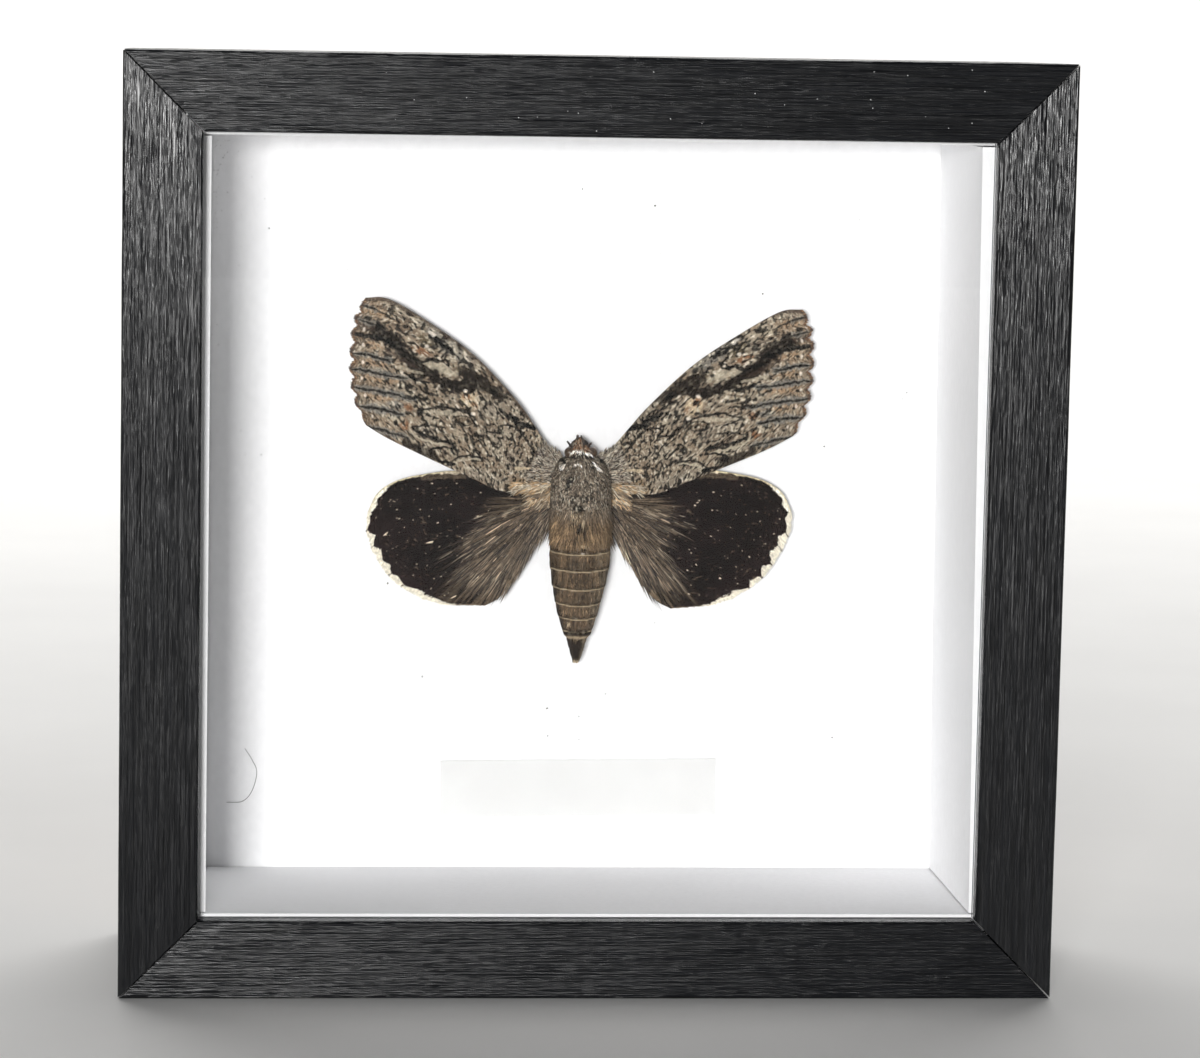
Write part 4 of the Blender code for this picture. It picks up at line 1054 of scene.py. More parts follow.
def body_colour(right, up):
    """Tints of the body by place."""
    shape = np.broadcast_shapes(np.shape(right), np.shape(up))
    right = np.broadcast_to(right, shape).astype(float)
    up = np.broadcast_to(up, shape).astype(float)
    centre, half_width = body_shape(up)[:2]
    across = (right - centre) / half_width
    colour = np.broadcast_to(np.asarray(TONES["abdomen"]), shape + (3,)).copy()
    colour = blend(colour, TONES["flank"], 0.7 * smoothstep(0.2, 0.9, across))
    colour = blend(colour, TONES["umber"], 0.85 * smoothstep(0.78, 0.98, -across))
    dark_streak = value_noise(right / 0.34, up / 3.0, 111)
    pale_streak = value_noise(right / 0.30, up / 2.4, 115)
    colour = blend(colour, TONES["umber"], 0.55 * smoothstep(0.0, 0.6, dark_streak))
    colour = blend(colour, TONES["hair"], 0.45 * smoothstep(0.1, 0.7, pale_streak))
    lower = 1.0 - smoothstep(-22.5, -20.0, up)
    colour = blend(colour, TONES["brown"], 0.35 * lower)
    tan_zone = smoothstep(-10.5, -5.5, up + 1.2 * value_noise(right / 1.1, up / 1.6, 113))
    colour = blend(colour, TONES["hair"], 0.85 * tan_zone)
    mottle = smoothstep(0.1, 0.7, value_noise(right / 0.5, up / 1.1, 114))
    colour = blend(colour, TONES["brown"], 0.55 * mottle * tan_zone)
    ragged = up + 0.6 * value_noise(right / 0.7, up / 0.7, 112)
    colour = blend(colour, TONES["thorax"], smoothstep(-2.5, 0.8, ragged))
    head = smoothstep(9.8, 10.4, up)
    colour = blend(colour, TONES["rust"], 0.55 * head)
    for points, width, tone, strength in BODY_LINES:
        colour = draw_line(colour, right, up, points, width, tone, strength)
    for patch in BODY_PATCHES:
        colour = draw_patch(colour, right, up, *patch)
    for height in SEGMENT_LINES:
        gap = up - height + SEGMENT_SAG * (1 - across**2)
        colour = blend(colour, TONES["umber"], 0.55 * (1 - smoothstep(0.1, 0.7, np.abs(gap - 0.40))))
        colour = blend(colour, TONES["cream"], 0.62 * (1 - smoothstep(0.04, 0.16, np.abs(gap))))
    colour = blend(colour, TONES["black"], 0.85 * (1 - smoothstep(0.15, 0.45, np.abs(up + 23.9))))
    colour = blend(colour, TONES["cream"], 0.55 * (1 - smoothstep(0.1, 0.35, np.abs(up + 24.7))))
    cone = 1.0 - smoothstep(-25.4, -24.9, up)
    colour = blend(colour, TONES["umber"], cone * 0.85)
    colour = blend(colour, TONES["flank"], cone * smoothstep(0.35, 0.75, across) * 0.8)
    colour = blend(colour, TONES["cream"], 1.0 - smoothstep(-29.2, -28.6, up))
    # Painted shade: the pit is painted black, standing for the shade in its hollow.
    return blend(colour, TONES["black"], 1.0 - smoothstep(0.7, 1.05, pit_reach(right, up)))


def body_piece(material):
    """The body's skin: head, thorax with its tufts and pit, and ringed abdomen."""
    rows, columns = BODY_STEPS
    up = np.linspace(BODY_RINGS[0][0], BODY_RINGS[-1][0], rows)[:, None] * np.ones((1, columns))
    angle = np.ones((rows, 1)) * np.linspace(0.0, 2 * math.pi, columns, endpoint=False)[None, :]
    right, height, lift = body_surface(up, angle)
    points = moth_world(right, height, lift)
    corner = np.arange(rows * columns).reshape(rows, columns)
    following = np.roll(corner, -1, axis=1)
    quads = np.stack([corner[:-1], following[:-1], following[1:], corner[1:]], axis=-1).reshape(-1, 4)
    faces = quads.tolist() + [corner[0].tolist(), corner[-1].tolist()]
    colour = body_colour(right, up)
    colour = deepen(speckle(colour, up, right, 0.62 * smoothstep(-3.0, 0.0, up) + 0.18, 121))
    grain = np.stack([up, right, lift], axis=-1).reshape(-1, 3) * MM
    piece = make_piece("body_skin", points, faces, material, colour.reshape(-1, 3), grain, True)
    return dress(piece, "moth_body", "body")


def ribbon_hairs(roots, directions, normals, lengths, widths, rise, droop):
    """Points and faces of tapering ribbons that lift off the surface and droop to their tips."""
    side = np.cross(directions, normals)
    side /= np.maximum(np.linalg.norm(side, axis=1, keepdims=True), 1e-9)
    stations = ((0.0, 1.0), (0.4, 0.9), (0.75, 0.55))
    rows = []
    for t, width in stations:
        off = lengths * (rise * t - droop * t * t)
        middle = roots + directions * (lengths * t)[:, None] + normals * off[:, None]
        half = side * (widths * width / 2)[:, None]
        rows += [middle - half, middle + half]
    off = lengths * (rise - droop)
    rows.append(roots + directions * lengths[:, None] + normals * off[:, None])
    points = np.stack(rows, axis=1).reshape(-1, 3)
    first = 7 * np.arange(len(roots))[:, None]
    quads = (first + np.array([[0, 1, 3, 2]])).tolist() + (first + np.array([[2, 3, 5, 4]])).tolist()
    return points, quads + (first + np.array([[4, 5, 6]])).tolist()


def hair_piece(name, groups, material, slot):
    """Join groups of hairs, each with roots, directions, normals, lengths, widths and tints."""
    points = []
    faces = []
    tints = []
    for group in groups:
        group_points, group_faces = ribbon_hairs(*group[:5], rise=group[6], droop=group[7])
        start = sum(len(part) for part in points)
        faces += [[start + corner for corner in face] for face in group_faces]
        points.append(group_points)
        tints.append(np.repeat(group[5], 7, axis=0))
    piece = make_piece(name, np.concatenate(points), faces, material, np.concatenate(tints))
    return dress(piece, slot)


def body_hairs(rng, count, low, high, spread, length, width, heading, splay, contrast, rise, droop):
    """Hairs on the upper side of the body between two heights, lying along it."""
    up = rng.uniform(low, high, count)
    angle = math.pi / 2 + rng.uniform(-spread, spread, count)
    right, height, lift = body_surface(up, angle)
    step = 0.05
    ahead = np.stack(body_surface(up - step, angle), axis=1)
    aside = np.stack(body_surface(up, angle + step), axis=1)
    here = np.stack([right, height, lift], axis=1)
    along = (ahead - here) / np.linalg.norm(ahead - here, axis=1, keepdims=True)
    around = (aside - here) / np.linalg.norm(aside - here, axis=1, keepdims=True)
    normal = np.cross(around, along)
    normal *= np.sign(normal[:, 2] * np.sin(angle) + 1e-9)[:, None]
    turn = heading + splay * -np.cos(angle) + rng.normal(0.0, 0.22, count)
    direction = along * np.cos(turn)[:, None] + around * np.sin(turn)[:, None]
    tint = deepen(body_colour(right, height))
    shade = np.exp(rng.normal(0.0, contrast, count))[:, None]
    tint = tint * shade
    if contrast > 0.5:
        pick = rng.random(count)[:, None]
        tint = np.where(pick > 0.91, np.asarray(TONES["lichen"]), tint)
        tint = np.where(pick < 0.18, np.asarray(TONES["black"]), tint)
    lengths = length * rng.uniform(0.6, 1.3, count)
    widths = width * rng.uniform(0.7, 1.3, count)
    across = np.cos(angle)
    over = up[:, None] - np.array(SEGMENT_LINES) + SEGMENT_SAG * (1 - across[:, None] ** 2)
    keep = ~((over > -0.12) & (over < lengths[:, None] + 0.12)).any(axis=1)
    keep &= pit_reach(right, height - 0.3) > 1.15
    parts = (here, direction, normal, lengths, widths, tint)
    return place_hairs(*(part[keep] for part in parts), rise, droop)


def world_axes(vectors):
    """Directions in the frame's axes from right, up and out of the board."""
    return np.stack([vectors[:, 0], -vectors[:, 2], vectors[:, 1]], axis=1)


def place_hairs(here, direction, normal, lengths, widths, tint, rise, droop):
    """Turn hairs given in the moth's millimetres into metres in the frame's axes."""
    roots = moth_world(here[:, 0], here[:, 1], here[:, 2])
    return roots, world_axes(direction), world_axes(normal), lengths * MM, widths * MM, tint, rise, droop


def wing_hairs(rng, kind, side, outward, across, heading, lengths, width, tint, rise=0.10, droop=0.08):
    """Hairs on a wing's upper face, heading by its own flat axes."""
    wing = FOREWING if kind == "forewing" else HINDWING
    flat, right, up = wing_grid(kind, side, outward, across)
    lift = wing_lift(wing, side, outward, across) + SHEET_THICKNESS / 2
    ahead = flat + 0.1 * heading
    angle = math.radians(WING_SET[kind + "_" + side]["turn"])
    run = ahead - flat
    turned = np.stack(
        [run[:, 0] * math.cos(angle) - run[:, 1] * math.sin(angle),
         run[:, 0] * math.sin(angle) + run[:, 1] * math.cos(angle)], axis=1,
    )
    mirror = -1.0 if side == "left" else 1.0
    direction = np.stack([turned[:, 0] * mirror, turned[:, 1], np.zeros(len(turned))], axis=1)
    direction /= np.linalg.norm(direction, axis=1, keepdims=True)
    normal = np.tile([0.0, 0.0, 1.0], (len(turned), 1))
    here = np.stack([right, up, lift], axis=1)
    widths = width * rng.uniform(0.7, 1.3, len(turned))
    return place_hairs(here, direction, normal, lengths, widths, tint, rise, droop)


def away_from(flat, place):
    """Unit directions away from one place."""
    heading = flat - np.array(place)
    return heading / np.linalg.norm(heading, axis=1, keepdims=True)


def fringe_group(rng, kind, side, count, length, width):
    """Fringe scales along a wing's outer margin, with dark ones where the veins end."""
    wing = FOREWING if kind == "forewing" else HINDWING
    values = WING_SET[kind + "_" + side]
    across = np.sort(rng.uniform(0.01, 0.985, count))
    inner = wing_point(wing, values, np.full(count, 0.95), across)
    outer = wing_point(wing, values, np.full(count, 1.0), across)
    reach = np.linalg.norm(outer - inner, axis=1) / 0.05
    heading = (outer - inner) / np.linalg.norm(outer - inner, axis=1, keepdims=True)
    sway = rng.normal(0.0, 0.18, count)
    heading = heading + np.stack([-heading[:, 1], heading[:, 0]], axis=1) * sway[:, None]
    if kind == "forewing":
        outward = rng.uniform(0.985, 0.999, count)
        at_vein = np.abs(np.sin(math.pi * lobe_count(wing, across))) > 0.965
        pick = rng.random(count)[:, None]
        tint = np.where(pick > 0.55, np.asarray(TONES["rust"]), np.asarray(TONES["brown"]))
        tint = np.where(pick > 0.85, np.asarray(TONES["orange"]), tint)
        tint = np.where(at_vein[:, None], np.asarray(TONES["brown"]), tint)
        lengths = length * rng.uniform(0.4, 1.15, count)
    else:
        notch = notch_depth(wing, across)
        start = np.maximum(dark_edge(side, across) * rng.uniform(0.35, 1.0, count), notch + 0.1)
        outward = 1.0 - (start - notch) / reach
        tail = smoothstep(0.84, 0.92, across)
        tint = np.tile(np.asarray(TONES["fringe"]), (count, 1)) * rng.uniform(0.7, 1.05, count)[:, None]
        tint = blend(tint, TONES["drab"], tail)
        at_tooth = np.abs(across[:, None] - teeth(side)).min(axis=1) < 0.007
        dark = at_tooth[:, None] & (rng.random(count)[:, None] > 0.3)
        tint = np.where(dark, np.asarray(TONES["brown"]), tint)
        lengths = start + rng.uniform(-0.15, length, count)
    tint = tint * rng.uniform(0.8, 1.05, count)[:, None]
    return wing_hairs(rng, kind, side, outward, across, heading, lengths, width, tint, 0.02, 0.06)


def base_fan_group(rng, side, count):
    """Long drab hair that fans over the hindwing from its root along the inner margin."""
    across = rng.uniform(0.30, 1.0, count) ** 0.8
    outward = rng.uniform(0.01, 0.62, count)
    flat = wing_grid("hindwing", side, outward, across)[0]
    keep = rng.random(count) < hair_share(flat[:, 0], flat[:, 1], side) * 0.90
    across = across[keep]
    outward = outward[keep]
    flat = flat[keep]
    number = len(flat)
    heading = away_from(flat, FAN_AIM) + rng.normal(0.0, 0.05, (number, 2))
    shade = np.exp(rng.normal(-0.45, 0.80, number))[:, None]
    tint = np.asarray(TONES["drab"]) * shade
    pick = rng.random(number)[:, None]
    tint = np.where(pick > 0.94, np.asarray(TONES["cream"]) * 0.6, tint)
    tint = np.where(pick < 0.30, np.asarray(TONES["night"]), tint)
    lengths = rng.uniform(1.6, 5.0, number)
    return wing_hairs(rng, "hindwing", side, outward, across, heading, lengths, 0.11, tint, 0.06, 0.06)


def root_tuft_group(rng, kind, side, count, outward_range, across_range, tones, length):
    """Short tufts where a wing meets the thorax."""
    outward = rng.uniform(*outward_range, count)
    across = rng.uniform(*across_range, count)
    flat = wing_grid(kind, side, outward, across)[0]
    heading = away_from(flat, TUFT_AIM) + rng.normal(0.0, 0.25, (count, 2))
    tint = np.asarray([TONES[tone] for tone in tones])[rng.integers(0, len(tones), count)]
    tint = tint * np.exp(rng.normal(0.0, 0.25, count))[:, None]
    lengths = length * rng.uniform(0.6, 1.4, count)
    return wing_hairs(rng, kind, side, outward, across, heading, lengths, 0.14, tint, 0.25, 0.22)


def shares_at(side, places):
    """Shares outward and across of places given in the hindwing's own millimetres."""
    share = np.linspace(0.0, 1.0, 161)
    outward, across = np.meshgrid(share, share, indexing="ij")
    flat = wing_grid("hindwing", side, outward, across)[0].reshape(-1, 2)
    nearest = [int(np.argmin(np.hypot(*(flat - place).T))) for place in places]
    return outward.ravel()[nearest], across.ravel()[nearest]


def loose_fleck_group(rng, side, count):
    """Pale short streaks on the dark hindwing where scales are lost, the larger in their places."""
    marks = np.array(HINDWING_FLECKS[side])
    placed_outward, placed_across = shares_at(side, marks[:, :2])
    outward = np.concatenate([placed_outward, rng.uniform(0.25, 0.93, count)])
    across = np.concatenate([placed_across, rng.uniform(0.05, 0.92, count)])
    number = len(outward)
    flat = wing_grid("hindwing", side, outward, across)[0]
    heading = away_from(flat, FAN_AIM) + rng.normal(0.0, 0.30, (number, 2))
    lengths = np.concatenate([marks[:, 2], rng.uniform(0.15, 0.5, count)])
    bright = np.concatenate([np.full(len(marks), 1.5), rng.uniform(0.2, 0.8, count)])
    tint = np.asarray(TONES["cream"]) * bright[:, None]
    return wing_hairs(rng, "hindwing", side, outward, across, heading, lengths, 0.26, tint, 0.02, 0.0)


def add_blob(builder, place, size, turn, rng):
    """A small uneven lump of dust."""
    made = bmesh.ops.create_icosphere(builder, subdivisions=1, radius=1.0)
    shape = Matrix.Translation(place) @ Matrix.Rotation(turn, 4, "Y") @ Matrix.Diagonal((*size, 1.0))
    for vert in made["verts"]:
        vert.co = shape @ (vert.co * rng.uniform(0.7, 1.2))


def blob_piece(name, places, sizes, rng, material, slot):
    """Many small lumps joined in one mesh; each size is its half extents."""
    builder = bmesh.new()
    for place, size in zip(places, sizes):
        add_blob(builder, Vector(place), size, rng.uniform(0.0, math.pi), rng)
    bmesh.ops.recalc_face_normals(builder, faces=builder.faces)
    return dress(piece_from(builder, name, material), slot)


def tube_mesh(name, path, radius, material, sides=6):
    """A thin round thread along a smooth path given in metres."""
    curve = bpy.data.curves.new(name, "CURVE")
    curve.dimensions = "3D"
    curve.bevel_depth = radius
    curve.bevel_resolution = max(0, sides // 4)
    curve.use_fill_caps = True
    spline = curve.splines.new("POLY")
    spline.points.add(len(path) - 1)
    for point, place in zip(spline.points, path):
        point.co = (*place, 1.0)
    holder = add_object(name, curve)
    bpy.context.view_layer.update()
    evaluated = holder.evaluated_get(bpy.context.evaluated_depsgraph_get())
    mesh = bpy.data.meshes.new_from_object(evaluated)
    bpy.data.objects.remove(holder, do_unlink=True)
    builder = bmesh.new()
    builder.from_mesh(mesh)
    bmesh.ops.remove_doubles(builder, verts=builder.verts, dist=0.001 * MM)
    builder.to_mesh(mesh)
    builder.free()
    mesh.materials.clear()
    mesh.materials.append(material)
    mesh.shade_smooth()
    return add_object(name, mesh)


def bar_mesh(name, boxes, material):
    """Slim square bars joined in one mesh, each given by two corners in metres."""
    builder = bmesh.new()
    for low, high in boxes:
        low = Vector(low)
        high = Vector(high)
        place = Matrix.Translation((low + high) / 2) @ Matrix.Diagonal((*(high - low), 1.0))
        bmesh.ops.create_cube(builder, size=1.0, matrix=place)
    return piece_from(builder, name, material)


class FramedMothSettings(bpy.types.PropertyGroup):
    """Sizes and colours that can be changed before building."""

    rail_colour: FloatVectorProperty(
        name="Rail colour", description="Colour of the rails between their ribs", subtype="COLOR",
        size=3, min=0.0, max=1.0, default=(0.002, 0.0022, 0.0028),
    )
    rib_pitch: FloatProperty(
        name="Rib pitch", description="Distance between the ribs pressed into the rails", unit="LENGTH",
        default=0.42 * MM, min=0.2 * MM, max=2.0 * MM,
    )
    rib_depth: FloatProperty(
        name="Rib depth", description="Depth of the grooves between ribs", unit="LENGTH",
        default=0.08 * MM, min=0.0, max=0.5 * MM,
    )
    card_colour: FloatVectorProperty(
        name="Card colour", description="Colour of the backing board and the strips", subtype="COLOR",
        size=3, min=0.0, max=1.0, default=(0.94, 0.94, 0.95),
    )
    label_colour: FloatVectorProperty(
        name="Label colour", description="Colour of the small paper label", subtype="COLOR",
        size=3, min=0.0, max=1.0, default=(0.72, 0.72, 0.715),
    )
    specks: IntProperty(
        name="Dust specks", description="Number of fine specks scattered on the board", default=24,
        min=0, max=400,
    )
    fringe_width: FloatProperty(
        name="Fringe width", description="Width of the hindwings' pale fringe", unit="LENGTH",
        default=FRINGE_WIDTH * MM, min=0.2 * MM, max=4.0 * MM,
    )
    body_hair: IntProperty(
        name="Body hairs", description="Number of hairs on the thorax and abdomen", default=15000,
        min=0, max=30000,
    )
    wing_hair: IntProperty(
        name="Wing hairs", description="Number of hairs over each hindwing's base", default=2600,
        min=0, max=10000,
    )
    floor_colour: FloatVectorProperty(
        name="Floor colour", description="Colour of the studio floor", subtype="COLOR",
        size=3, min=0.0, max=1.0, default=(0.90, 0.89, 0.87),
    )
    key_power: FloatProperty(
        name="Key power", description="Power of the soft main light, in watts", default=160.0, min=0.0,
    )
    back_power: FloatProperty(
        name="Backdrop power", description="Power of the light over the backdrop, in watts", default=24.0,
        min=0.0,
    )
    sky: FloatProperty(
        name="Sky", description="Strength of the even light all round", default=0.10, min=0.0,
    )


class FRAMEDMOTH_OT_rails(bpy.types.Operator):
    """Build the four ribbed black rails."""

    bl_idname = "framed_moth.rails"
    bl_label = "Rails"

    def execute(self, context):
        """Build each rail in its place."""
        settings = context.scene.framed_moth
        material = ribbed_black(settings)
        for turn, side in enumerate(("bottom", "left", "top", "right")):
            rail_piece(side, turn, settings, material)
        return {"FINISHED"}


class FRAMEDMOTH_OT_case(bpy.types.Operator):
    """Finish the glass, the white card inside and the thin dark bar of painted shade behind the glass."""

    bl_idname = "framed_moth.case"
    bl_label = "Glass and card"

    def execute(self, context):
        """Give the carried-over solids their materials."""
        settings = context.scene.framed_moth
        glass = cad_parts["glass_pane"]
        glass.data.materials.clear()
        glass.data.materials.append(clear_glass())
        glass.visible_shadow = False
        glass.visible_diffuse = False
        card = white_card(settings)
        for node in ("mount_board", "spacer_bottom", "spacer_top", "spacer_left", "spacer_right"):
            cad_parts[node].data.materials.clear()
            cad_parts[node].data.materials.append(card)
        build_gap_shade()
        return {"FINISHED"}


def build_gap_shade():
    """A thin dark bar between the glass and the strips, just inside the lip: painted shade standing for the
    shaded gap there.
    """
    front = STRIP_FRONT - GAP_SHADE_THICKNESS
    sides = []
    for sign in (-1, 1):
        near = sign * GAP_SHADE_REACH
        far = sign * (GAP_SHADE_REACH + GAP_SHADE_WIDTH)
        low, high = min(near, far), max(near, far)
        sides.append((corner_point(low, -GAP_SHADE_REACH, front), corner_point(high, GAP_SHADE_REACH, STRIP_FRONT)))
        sides.append((corner_point(-GAP_SHADE_REACH, low, front), corner_point(GAP_SHADE_REACH, high, STRIP_FRONT)))
    material = plain_tinted("gap_shade_grey", (0.05, 0.05, 0.055), (0.10, 0.10, 0.11), 900.0, 0.5)
    dress(bar_mesh("gap_shade_bar", sides, material), "frame_black")


def corner_point(right, up, behind):
    """One place in metres."""
    return tuple(to_world(right, up, behind)[0])


class FRAMEDMOTH_OT_label(bpy.types.Operator):
    """Build the small bare paper label."""

    bl_idname = "framed_moth.label"
    bl_label = "Label"

    def execute(self, context):
        """Build the label as a thin sheet that lifts slightly at its corners."""
        low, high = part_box("label")
        turn = math.radians(LABEL_TURN)
        columns, rows = 54, 12
        across = np.linspace(-0.5, 0.5, columns)[None, :] * np.ones((rows, 1))
        along = np.linspace(-0.5, 0.5, rows)[:, None] * np.ones((1, columns))
        corner = smoothstep(0.80, 1.0, np.abs(across) + np.abs(along))
        wave = 0.03 * value_noise(across * 9.0, along * 3.0, 131)
        edge = 0.05 * value_noise(across * 40.0, along * 12.0, 132)
        x = across * LABEL_WIDTH + edge * (np.abs(across) > 0.499)
        z = along * LABEL_HEIGHT + edge * (np.abs(along) > 0.499)
        right = (low.x + high.x) / 2 / MM + x * math.cos(turn) - z * math.sin(turn)
        up = (low.z + high.z) / 2 / MM - HALF + x * math.sin(turn) + z * math.cos(turn)
        lift = 0.30 + wave + 0.14 * corner
        front = to_world(right, up, BOARD_FRONT - lift)
        back = to_world(right, up, BOARD_FRONT - lift + LABEL_THICKNESS)
        faces = grid_quads(rows, columns) + grid_quads(rows, columns, start=len(front))
        fine = np.arange(rows * columns).reshape(rows, columns)
        for rim in (fine[0], fine[-1], fine[:, 0], fine[:, -1]):
            for near, far in zip(rim, rim[1:]):
                faces.append([int(near), int(far), int(far) + len(front), int(near) + len(front)])
        material = label_paper(context.scene.framed_moth)
        piece = make_piece("label_sheet", np.concatenate([front, back]), faces, material, closed=True)
        piece.data.set_sharp_from_angle(angle=math.radians(50))
        dress(piece, "label_paper", "label")
        return {"FINISHED"}


class FRAMEDMOTH_OT_back(bpy.types.Operator):
    """Finish the back panel and its metal parts."""

    bl_idname = "framed_moth.back"
    bl_label = "Back"

    def execute(self, context):
        """Give the carried-over solids at the back their materials."""
        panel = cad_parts["back_panel"]
        panel.data.materials.clear()
        panel.data.materials.append(brown_hardboard())
        steel = zinc_steel()
        for name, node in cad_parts.items():
            if name.startswith(("tab_", "hanger")):
                node.data.materials.clear()
                node.data.materials.append(steel)
        return {"FINISHED"}


class FRAMEDMOTH_OT_dust(bpy.types.Operator):
    """Scatter the dust: specks on the board, a fibre, and pale dust on the rails."""

    bl_idname = "framed_moth.dust"
    bl_label = "Dust"

    def execute(self, context):
        """Build the dust as small meshes."""
        rng = np.random.default_rng(7)
        count = context.scene.framed_moth.specks
        grey = plain_tinted("dust_grey", (0.06, 0.05, 0.045), (0.16, 0.15, 0.14), 700.0, 0.9)
        pale = plain_tinted("dust_pale", (0.62, 0.62, 0.62), (0.80, 0.80, 0.80), 700.0, 0.9)
        right = rng.uniform(-SPECK_REACH, SPECK_REACH, LARGE_SPECKS + count)
        up = rng.uniform(-SPECK_REACH, SPECK_REACH, LARGE_SPECKS + count)
        places = to_world(right, up, BOARD_FRONT - 0.05)
        half = np.concatenate([rng.uniform(0.09, 0.22, LARGE_SPECKS), rng.uniform(0.04, 0.08, count)]) * MM
        sizes = [(size * rng.uniform(0.8, 1.3), 0.07 * MM, size * rng.uniform(0.7, 1.1)) for size in half]
        blob_piece("dust_specks", places, sizes, rng, grey, "white_card")
        fibre = smooth_curve(FIBRE_PATH, np.linspace(0.0, 1.0, 40))
        path = to_world(fibre[:, 0], fibre[:, 1], BOARD_FRONT - 0.12)
        dress(tube_mesh("dust_fibre", path, 0.05 * MM, grey), "white_card")
        on_top = rng.uniform(-45.0, 70.0, RAIL_SPECKS)
        high = rng.uniform(HALF - MOULDING + 1.0, HALF - 1.0, RAIL_SPECKS)
        sizes = [
            (rng.uniform(0.06, 0.15) * MM, 0.04 * MM, rng.uniform(0.06, 0.13) * MM)
            for _ in range(RAIL_SPECKS)
        ]
        blob_piece("rail_dust", to_world(on_top, high, 0.04), sizes, rng, pale, "frame_black")
        beside_wall = -69.0 + rng.exponential(1.6, CORNER_FLECKS)
        down = 69.0 - rng.exponential(16.0, CORNER_FLECKS)
        sizes = [
            (rng.uniform(0.08, 0.2) * MM, 0.05 * MM, rng.uniform(0.08, 0.2) * MM)
            for _ in range(CORNER_FLECKS)
        ]
        places = to_world(beside_wall, np.clip(down, -68.0, 68.0), BOARD_FRONT - 0.05)
        blob_piece("corner_dust", places, sizes, rng, pale, "white_card")
        return {"FINISHED"}


class FRAMEDMOTH_OT_forewings(bpy.types.Operator):
    """Build the two patterned forewings and their fringes."""

    bl_idname = "framed_moth.forewings"
    bl_label = "Forewings"

    def execute(self, context):
        """Build each forewing."""
        material = scales("forewing_scales", 0.82, 5200.0)
        hair = hair_material("forewing_fringe", 0.8)
        for number, side in enumerate(("left", "right")):
            rng = np.random.default_rng(200 + number)
            wing_piece("forewing", side, material, "forewing_scales")
            groups = [
                fringe_group(rng, "forewing", side, 760, 0.45, 0.15),
                root_tuft_group(rng, "forewing", side, 900, (0.0, 0.08), (0.0, 0.80),
                                ("lichen", "black", "bark", "brown", "grey"), 0.8),
                root_tuft_group(rng, "forewing", side, 260, (0.0, 0.14), (0.86, 1.0),
                                ("orange", "hair", "cream", "drab", "lichen"), 1.5),
            ]
            hair_piece("forewing_" + side + "_fringe", groups, hair, "forewing_scales")
        return {"FINISHED"}


class FRAMEDMOTH_OT_hindwings(bpy.types.Operator):
    """Build the two dark hindwings, their hair and their pale fringes."""

    bl_idname = "framed_moth.hindwings"
    bl_label = "Hindwings"

    def execute(self, context):
        """Build each hindwing."""
        settings = context.scene.framed_moth
        material = scales("hindwing_scales", 0.72, 3600.0)
        hair = hair_material("hindwing_hair", 0.65)
        for number, side in enumerate(("left", "right")):
            rng = np.random.default_rng(300 + number)
            wing_piece("hindwing", side, material, "hindwing_scales")
            groups = [
                fringe_group(rng, "hindwing", side, 1100, 0.25, 0.15),
                base_fan_group(rng, side, settings.wing_hair),
                root_tuft_group(rng, "hindwing", side, 240, (0.0, 0.08), (0.0, 0.40),
                                ("orange", "hair", "cream", "drab", "drab"), 1.6),
                loose_fleck_group(rng, side, 90),
            ]
            hair_piece("hindwing_" + side + "_hair", groups, hair, "hindwing_scales")
        return {"FINISHED"}


class FRAMEDMOTH_OT_body(bpy.types.Operator):
    """Build the body with its hair, eyes and broken feelers."""

    bl_idname = "framed_moth.body"
    bl_label = "Body"

    def execute(self, context):
        """Build the skin, the hair and the parts of the head."""
        body_piece(scales("body_scales", 0.85, 4200.0))
        rng = np.random.default_rng(400)
        total = context.scene.framed_moth.body_hair
        groups = [body_hairs(rng, int(total * share), *values) for share, *values in BODY_HAIR]
        hair_piece("body_hair", groups, hair_material("body_hair", 0.75), "moth_body")
        build_head_parts()
        return {"FINISHED"}


def build_head_parts():
    """Eyes, and the stubs of feelers and palps."""
    dark = plain_tinted("feeler_brown", (0.012, 0.009, 0.007), (0.040, 0.026, 0.018), 1800.0, 0.55)
    eye = plain_tinted("eye_brown", (0.030, 0.018, 0.010), (0.075, 0.045, 0.025), 1500.0, 0.28)
    builder = bmesh.new()
    for right, up, lift in EYES:
        place = Matrix.Translation(moth_world(right, up, lift)[0])
        bmesh.ops.create_icosphere(builder, subdivisions=4, radius=EYE_RADIUS * MM, matrix=place)
    eyes = piece_from(builder, "eyes", eye)
    eyes.data.shade_smooth()
    dress(eyes, "moth_body")
    builder = bmesh.new()
    for base, tip, base_radius, tip_radius in STUBS:
        start = Vector(moth_world(*base)[0])
        end = Vector(moth_world(*tip)[0])
        turn = (end - start).to_track_quat("Z", "Y").to_matrix().to_4x4()
        bmesh.ops.create_cone(
            builder, cap_ends=True, segments=12, radius1=base_radius * MM, radius2=tip_radius * MM,
            depth=(end - start).length, matrix=Matrix.Translation((start + end) / 2) @ turn,
        )
    stubs = piece_from(builder, "feeler_stubs", dark)
    stubs.data.shade_smooth()
    stubs.data.set_sharp_from_angle(angle=math.radians(50))
    dress(stubs, "moth_body")


